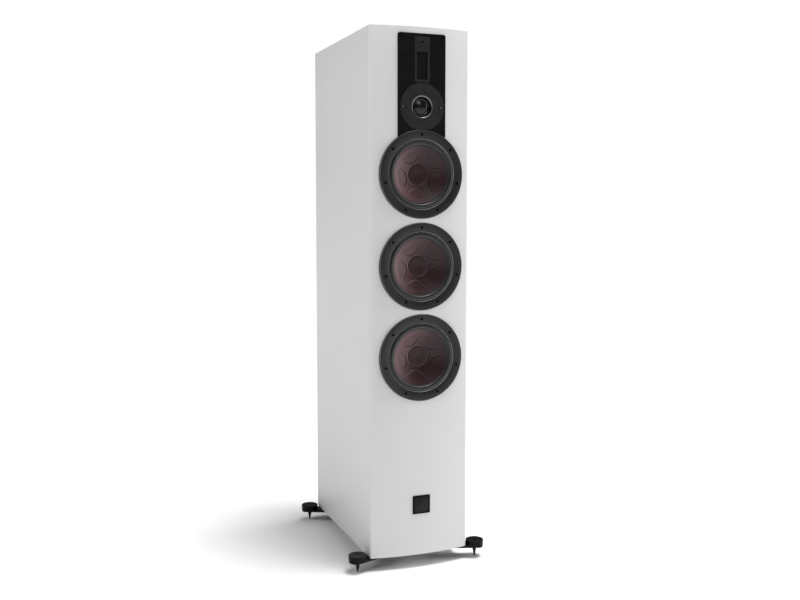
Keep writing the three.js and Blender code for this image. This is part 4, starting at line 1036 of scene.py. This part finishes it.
# An arm seen from above: the round boss, two straight flanks that spread to the root, two rounded root
# corners. The flanks touch the boss where the outline's arcs meet them.
def armMesh(end, side):
    look = armLook
    low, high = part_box(f"outrigger_arm_{end}_{side}")
    spike = middle(f"foot_spike_{end}_{side}")
    outward = math.atan2((-1 if end == "front" else 1) * math.sin(math.radians(look["splay"])),
                         (-1 if side == "left" else 1) * math.cos(math.radians(look["splay"])))
    boss, corner = look["boss"], look["corner"]
    neck, root, length = look["neck"] / 2, look["root"] / 2, look["length"]
    flank = math.atan2(root - neck, length)
    # where the boss's circle meets the flank line that passes (0, neck) and (-length, root)
    reach = math.acos(neck * math.cos(flank) / boss)
    wrap = math.pi / 2 + flank - reach
    cornerX = corner - length
    cornerY = root - corner * (1 / math.cos(flank)) - corner * math.tan(flank) * 0.5
    arcs = [(0, 0, boss, -wrap, 0), (0, 0, boss, 0, wrap),
            (cornerX, cornerY, corner, math.pi / 2 + flank, math.pi),
            (cornerX, -cornerY, corner, math.pi, 1.5 * math.pi - flank)]
    body = plate("arm", arcs, low.z, high.z, look["edge"], steps=16, axis="z")
    screwX, screwY = look["screwSetback"] - length, root - look["screwInset"]
    under, over = low.z - 5 * mm, high.z + 5 * mm
    cutters = []
    for x, y, radius in ((0, 0, spikeRadius + 0.5 * mm), (screwX, screwY, look["screw"]),
                         (screwX, -screwY, look["screw"])):
        hole = [(0, under), (radius, under), (radius, over), (0, over)]
        cutters.append(turned("hole", hole, (x, y, 0), 32, axis="z"))
    return shifted(carve(body, cutters), spike[0], spike[1], 0, turn=outward, about="Z")


# The knob: a low disc with rounded rims, a shallow dish, a hexagonal well and fine grips round its side.
# The grips draw the radius in by |sin| of half their count times the angle.
def knobMesh(end, side):
    look = knobLook
    low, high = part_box(f"foot_knob_{end}_{side}")
    spike = middle(f"foot_spike_{end}_{side}")
    radius, edge = look["radius"], look["edge"]
    bore = spikeRadius + 0.5 * mm
    bottom, top = low.z, high.z
    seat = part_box(f"foot_spike_{end}_{side}")[1].z + 0.3 * mm
    wall = [(radius, bottom + edge + 0.4 * mm), (radius, top - edge - 0.4 * mm)]
    profile = [(0, seat), (bore, seat), (bore, bottom), (radius - edge, bottom)]
    profile += quarter((radius - edge, bottom), (radius, bottom + edge), 4, True)[1:] + wall
    profile += quarter((radius, top - edge), (radius - edge, top), 5, False)
    well = look["flats"]
    dish = [(radius - edge - (radius - edge - well * 0.8) * s, top - look["dish"] * s * s * (3 - 2 * s))
            for s in np.linspace(0, 1, 9)[1:]]
    profile += dish
    first = len(profile)
    floor = top - look["dish"]
    profile += [(well / 2, floor), (well / 2, floor - look["well"] * 0.6), (0, floor - look["well"] * 0.6)]

    def wobble(r, z, angle):
        r = r.copy()
        grip = look["gripDepth"] * np.abs(np.sin(angle[0] * look["grips"] / 2))
        between = (z[:, 0] > bottom + edge) & (z[:, 0] < top - edge) & (r[:, 0] > radius - 0.01 * mm)
        r[between] -= grip
        r[first] = hexagon(well, angle[0])
        r[first + 1] = hexagon(well, angle[0])
        return r, z
    return turned("knob", profile, (spike[0], spike[1], 0), 240, axis="z", wobble=wobble)


# The spike: a threaded shank whose radius rises and falls once each pitch, then a straight taper.
# The thread's height is pitch * (row + angle / turn), which makes it one true helix.
def spikeMesh(end, side):
    look = spikeLook
    low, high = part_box(f"foot_spike_{end}_{side}")
    centre = middle(f"foot_spike_{end}_{side}")
    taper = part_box(f"outrigger_arm_{end}_{side}")[0].z - 2 * mm
    rows = look["rows"]
    shank = np.linspace(high.z - 0.4 * mm, taper + 1 * mm, rows)
    cone = np.linspace(0, 1, 12)
    tip = look["tip"]
    radius = spikeRadius
    profile = [(0, high.z), (radius - 0.5 * mm, high.z)] + [(radius, z) for z in shank]
    profile += [(radius + (tip + 0.1 * mm - radius) * s, taper + (low.z + 0.5 * mm - taper) * s)
                for s in cone]
    profile += [(tip, low.z + 0.15 * mm), (tip - 0.15 * mm, low.z), (0, low.z)]

    def wobble(r, z, angle):
        r = r.copy()
        turn = z[2:2 + rows] / look["pitch"] + angle / tau
        r[2:2 + rows] -= look["thread"] * np.abs((turn % 1) * 2 - 1)
        return r, z
    return turned("spike", profile, (centre[0], centre[1], 0), 48, axis="z", wobble=wobble)


for end in ("front", "rear"):
    for side in ("left", "right"):
        spot = f"{end}_{side}"
        piece(f"outrigger_arm_{spot}_milled", armMesh(end, side), looks["foot_black"],
              stands=[f"outrigger_arm_{spot}"])
        piece(f"foot_knob_{spot}_turned", knobMesh(end, side), looks["foot_black"], f"knob_{spot}",
              [f"foot_knob_{spot}"], sharp=40)
        piece(f"foot_spike_{spot}_threaded", spikeMesh(end, side), looks["spike_steel"], f"spike_{spot}",
              [f"foot_spike_{spot}"], sharp=45)
print("feet done")

portLook = {"throat": 31 * mm, "mouth": 42 * mm, "flange": 49 * mm, "wall": 3 * mm, "flare": 22 * mm,
            "edge": 1.1 * mm, "screws": 4, "screwCircle": 45.4 * mm, "pocket": 2.2 * mm}
terminalLook = {"thick": 3 * mm, "corner": 6 * mm, "edge": 0.7 * mm, "screwInset": 7.5 * mm,
                "pocket": 2.3 * mm, "stud": 2.9 * mm, "studPitch": 0.8 * mm, "studRows": 90,
                "linkHole": 3.3 * mm}
postLook = {"radius": 7.6 * mm, "bore": 3.4 * mm, "ribs": 18, "ribDepth": 0.55 * mm, "edge": 1 * mm,
            "waistDepth": 1.1 * mm}


# A port: the mouth's section is a quarter ellipse that turns from the flange into the throat.
def portMesh(name):
    look = portLook
    low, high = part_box(f"port_tube_{name}")
    centre = middle(f"port_tube_{name}")
    face, inner = high.y, low.y
    flange, mouth, throat = look["flange"], look["mouth"], look["throat"]
    edge = look["edge"]
    flangeBack = face - look["wall"]
    flare = [(mouth - (mouth - throat) * math.sin(a), face - look["flare"] * (1 - math.cos(a)))
             for a in np.linspace(0, math.pi / 2, 18)]
    outer = mouth + 1.5 * mm
    wall = throat + look["wall"]
    profile = flare + [(throat, inner + 4 * mm), (throat + 0.8 * mm, inner + 1.5 * mm),
                       (throat + 2.5 * mm, inner)]
    profile += [(wall, inner), (wall, face - look["flare"]), (outer, flangeBack - look["wall"]),
                (outer, flangeBack)]
    profile += [(flange, flangeBack), (flange, face - edge)]
    profile += quarter((flange, face - edge), (flange - edge, face), 5, False)[1:]
    body = turned("port", profile, (0, 0, centre[2]), 144, wrap=True)
    return carve(body, [rod(look["pocket"], face - 1.6 * mm, face + 2 * mm, x, z, 24)
                        for x, z in portScrews(centre)])


def portScrews(centre):
    angles = [math.pi / 4 + k * tau / portLook["screws"] for k in range(portLook["screws"])]
    reach = portLook["screwCircle"]
    return [(centre[0] + reach * math.cos(a), centre[2] + reach * math.sin(a)) for a in angles]


# A screw head made for the front and turned half round to face the rear.
def rearScrew(radius, length, flats, well, x, face, z):
    mesh = socketScrew(radius, length, flats, well, 0.2 * mm)
    writePoints(mesh, readPoints(mesh) * np.array([-1, -1, 1]))
    return shifted(mesh, x, face, z)


portHeads = []
for name in ("upper", "lower"):
    centre = middle(f"port_tube_{name}")
    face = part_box(f"port_tube_{name}")[1].y
    piece(f"port_tube_{name}_moulded", portMesh(name), looks["port_plastic"],
          stands=[f"port_tube_{name}"])
    portHeads += [rearScrew(2.0 * mm, 1.4 * mm, 1.8 * mm, 0.8 * mm, x, face - 0.2 * mm, z)
                  for x, z in portScrews(centre)]


# The terminal plate: a round-cornered rectangle with pockets for its screws and bores for the studs.
def terminalPlate():
    look = terminalLook
    low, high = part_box("terminal_plate")
    face = terminalFace
    back = face - look["thick"]
    base = plate("plate", roundRectangle(high.x - low.x, low.z, high.z, look["corner"]), face, back,
                 look["edge"], 0.1 * mm, steps=8)
    cutters = [rod(look["pocket"], face - 1.4 * mm, face + 2 * mm, x, z, 24) for x, z in plateScrews()]
    for post in posts:
        x, _, z = middle(f"binding_post_{post}")
        cutters.append(rod(look["stud"] + 0.05 * mm, back - 5 * mm, face + 5 * mm, x, z))
    return carve(base, cutters)


def plateScrews():
    low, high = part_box("terminal_plate")
    inset = terminalLook["screwInset"]
    return [(x, z) for x in (low.x + inset, high.x - inset) for z in (low.z + inset, high.z - inset)]


# A threaded stud through the plate, with the same helix as the spikes but a finer pitch.
def studMesh(post):
    look = terminalLook
    x, _, z = middle(f"binding_post_{post}")
    low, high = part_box("terminal_plate")
    rows = look["studRows"]
    radius = look["stud"]
    profile = [(0, low.y), (radius - 0.4 * mm, low.y)]
    profile += [(radius, y) for y in np.linspace(low.y + 0.3 * mm, high.y - 0.5 * mm, rows)]
    profile += [(radius - 0.5 * mm, high.y), (0, high.y)]

    def wobble(r, y, angle):
        r = r.copy()
        turn = y[2:2 + rows] / look["studPitch"] + angle / tau
        r[2:2 + rows] -= 0.25 * mm * np.abs((turn % 1) * 2 - 1)
        return r, y
    return turned("stud", profile, (x, 0, z), 32, wobble=wobble)


# A binding post: a ribbed barrel with a waist, its ribs a raised cosine of the angle.
def postMesh(post):
    look = postLook
    low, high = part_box(f"binding_post_{post}")
    x, _, z = middle(f"binding_post_{post}")
    radius, bore, edge = look["radius"], look["bore"], look["edge"]
    length = high.y - low.y
    profile = [(bore, low.y), (radius - edge, low.y)]
    profile += quarter((radius - edge, low.y), (radius, low.y + edge), 3, True)[1:]
    waist = low.y + 0.22 * length
    thin = radius - look["waistDepth"]
    profile += [(radius, waist - 1 * mm), (thin, waist - 0.3 * mm), (thin, waist + 0.6 * mm),
                (radius, waist + 1.2 * mm), (radius, high.y - edge)]
    profile += quarter((radius, high.y - edge), (radius - edge, high.y), 3, False)[1:]
    profile += [(bore + 0.5 * mm, high.y), (bore, high.y - 0.5 * mm)]

    def wobble(r, along, angle):
        r = r.copy()
        barrel = (along[:, 0] > waist + 1 * mm) & (along[:, 0] < high.y - 0.5 * mm)
        ribbed = barrel & (r[:, 0] > radius - 0.3 * mm)
        r[ribbed] -= look["ribDepth"] * (0.5 - 0.5 * np.cos(look["ribs"] * angle[0]))
        return r, along
    return turned("post", profile, (x, 0, z), 144, wrap=True, wobble=wobble)


posts = [f"{level}_{side}" for level in ("upper", "lower") for side in ("left", "right")]
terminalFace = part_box("rear_panel")[1].y + 0.3 * mm + terminalLook["thick"]
piece("terminal_plate_brushed", terminalPlate(), looks["terminal_metal"],
      stands=["terminal_plate"])
piece("terminal_studs", joined("studs", [studMesh(post) for post in posts]), looks["contact_gold"])
plateHeads = [rearScrew(2.1 * mm, 1.3 * mm, 1.9 * mm, 0.8 * mm, x, terminalFace - 0.1 * mm, z)
              for x, z in plateScrews()]
piece("rear_screws", joined("screws", portHeads + plateHeads), screwBlack)
capColours = {"left": rgb(0.010, 0.010, 0.011), "right": rgb(0.16, 0.008, 0.008)}
for side, colour in capColours.items():
    shade = tuple(0.6 * c for c in colour[:3]) + (1,)
    look = moulded(f"post_cap_{side}", shade, colour, 0.22, 600, 0.000005, Coat_Weight=0.3)
    for level in ("upper", "lower"):
        post = f"{level}_{side}"
        piece(f"binding_post_{post}_ribbed", postMesh(post), look, f"post_{post}",
              [f"binding_post_{post}"])
    low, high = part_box(f"jumper_link_{side}")
    half = (high.x - low.x) / 2
    x = (low.x + high.x) / 2
    ends = [(x, high.z - half, half, 0, math.pi), (x, low.z + half, half, math.pi, tau)]
    link = plate("link", ends, high.y, low.y, 0.35 * mm, steps=20)
    holes = []
    for level in ("upper", "lower"):
        postX, _, postZ = middle(f"binding_post_{level}_{side}")
        holes.append(rod(terminalLook["linkHole"], low.y - 5 * mm, high.y + 5 * mm, postX, postZ))
    piece(f"jumper_link_{side}_stamped", carve(link, holes), looks["contact_gold"],
          stands=[f"jumper_link_{side}"])
print("rear done")

# inner pieces keep their CAD shape and get their own finish
innerLooks = {"spider_": "spider_cloth", "basket_": "cast_alloy", "magnet_": "magnet",
              "brace_": "raw_board", "dome_magnet": "magnet", "ribbon_magnet": "magnet",
              "crossover_board": "circuit_board", "bass_inductor": "copper_wire",
              "treble_inductor": "copper_wire", "crossover_capacitor": "sleeve", "wiring_loom": "sleeve"}
for nodeName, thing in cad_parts.items():
    for start, slotName in innerLooks.items():
        if nodeName.startswith(start):
            thing.data.materials.clear()
            thing.data.materials.append(looks[slotName])
print("inner pieces finished")

stageLook = {"reach": 45.0, "floor": grey(0.92), "floorShade": grey(0.91), "world": 0.15, "backdrop": 1.05}


# A flat square grid of nine by nine points.
def floorPiece():
    reach = stageLook["reach"]
    count = 9
    edge = np.linspace(-1, 1, count)
    u, v = np.meshgrid(edge, edge)
    points = np.stack([u * reach, v * reach, np.zeros_like(u)], -1)
    index = np.arange(count * count).reshape(count, count)
    quads = np.stack([index[:-1, :-1], index[:-1, 1:], index[1:, 1:], index[1:, :-1]], -1).reshape(-1, 4)
    mesh = bpy.data.meshes.new("floor")
    mesh.from_pydata(points.reshape(-1, 3).tolist(), [], quads.tolist())
    floor = place("studio_floor", mesh)
    f = Finish("studio_floor", Roughness=0.9, Specular_IOR_Level=0.0)
    f.feed(Base_Color=f.blend(f.noise(3, 2), stageLook["floorShade"], stageLook["floor"]))
    floor.data.materials.append(f.material)


# The surroundings are dim as a light but white behind the object.
def studioWorld():
    world = bpy.data.worlds.new("studio")
    world.use_nodes = True
    tree = world.node_tree
    tree.nodes.clear()
    output = tree.nodes.new("ShaderNodeOutputWorld")
    light = tree.nodes.new("ShaderNodeBackground")
    seen = tree.nodes.new("ShaderNodeBackground")
    choose = tree.nodes.new("ShaderNodeMixShader")
    path = tree.nodes.new("ShaderNodeLightPath")
    light.inputs["Strength"].default_value = stageLook["world"]
    light.inputs["Color"].default_value = grey(1.0)
    seen.inputs["Strength"].default_value = stageLook["backdrop"]
    seen.inputs["Color"].default_value = grey(1.0)
    tree.links.new(path.outputs["Is Camera Ray"], choose.inputs[0])
    tree.links.new(light.outputs[0], choose.inputs[1])
    tree.links.new(seen.outputs[0], choose.inputs[2])
    tree.links.new(choose.outputs[0], output.inputs[0])
    bpy.context.scene.world = world


# A rectangular lamp at spot, turned to face aim; its light axis points down before it is pitched and turned.
def softbox(name, spot, aim, width, height, power):
    data = bpy.data.lights.new(name, "AREA")
    data.shape = "RECTANGLE"
    data.size = width
    data.size_y = height
    data.energy = power
    lamp = bpy.data.objects.new(name, data)
    bpy.context.scene.collection.objects.link(lamp)
    lamp.location = spot
    away = np.array(spot) - np.array(aim)
    yaw = math.atan2(away[0], -away[1])
    pitch = math.atan2(math.hypot(away[0], away[1]), away[2])
    lamp.rotation_euler = (pitch, 0, yaw)


# The sky lamp is a wide soft disc of light with no fall-off, so the floor is as bright far away as near.
def skyLamp(name, lean, turn, width, power):
    data = bpy.data.lights.new(name, "SUN")
    data.angle = math.radians(width)
    data.energy = power
    lamp = bpy.data.objects.new(name, data)
    bpy.context.scene.collection.objects.link(lamp)
    lamp.rotation_euler = (math.radians(lean), 0, math.radians(turn))


cameraLook = {"spot": (-0.7571, -2.0561, 0.7588), "yaw": 21.05, "pitch": 4.41, "lens": 43.14, "shift": -0.02}


def studioCamera():
    data = bpy.data.cameras.new("camera")
    data.sensor_width = 36
    data.lens = cameraLook["lens"]
    data.shift_y = cameraLook["shift"]
    camera = bpy.data.objects.new("camera", data)
    bpy.context.scene.collection.objects.link(camera)
    camera.location = cameraLook["spot"]
    tilt = math.radians(90 - cameraLook["pitch"])
    camera.rotation_euler = (tilt, 0, -math.radians(cameraLook["yaw"]))
    bpy.context.scene.camera = camera


floorPiece()
studioWorld()
skyLamp("sky", lean=14, turn=66, width=24, power=3.1)
softbox("key", (2.3, -0.7, 0.8), (0, 0, 0.6), width=0.5, height=2.2, power=18)
softbox("fill", (-0.3, -2.3, 3.1), (0, 0, 0.5), width=1.6, height=1.6, power=19)
softbox("strip", (-2.2, 0.1, 1.9), (-0.11, 0, 1.0), width=0.5, height=1.2, power=15)
studioCamera()
bpy.context.scene.view_settings.view_transform = "Standard"
print("studio ready")
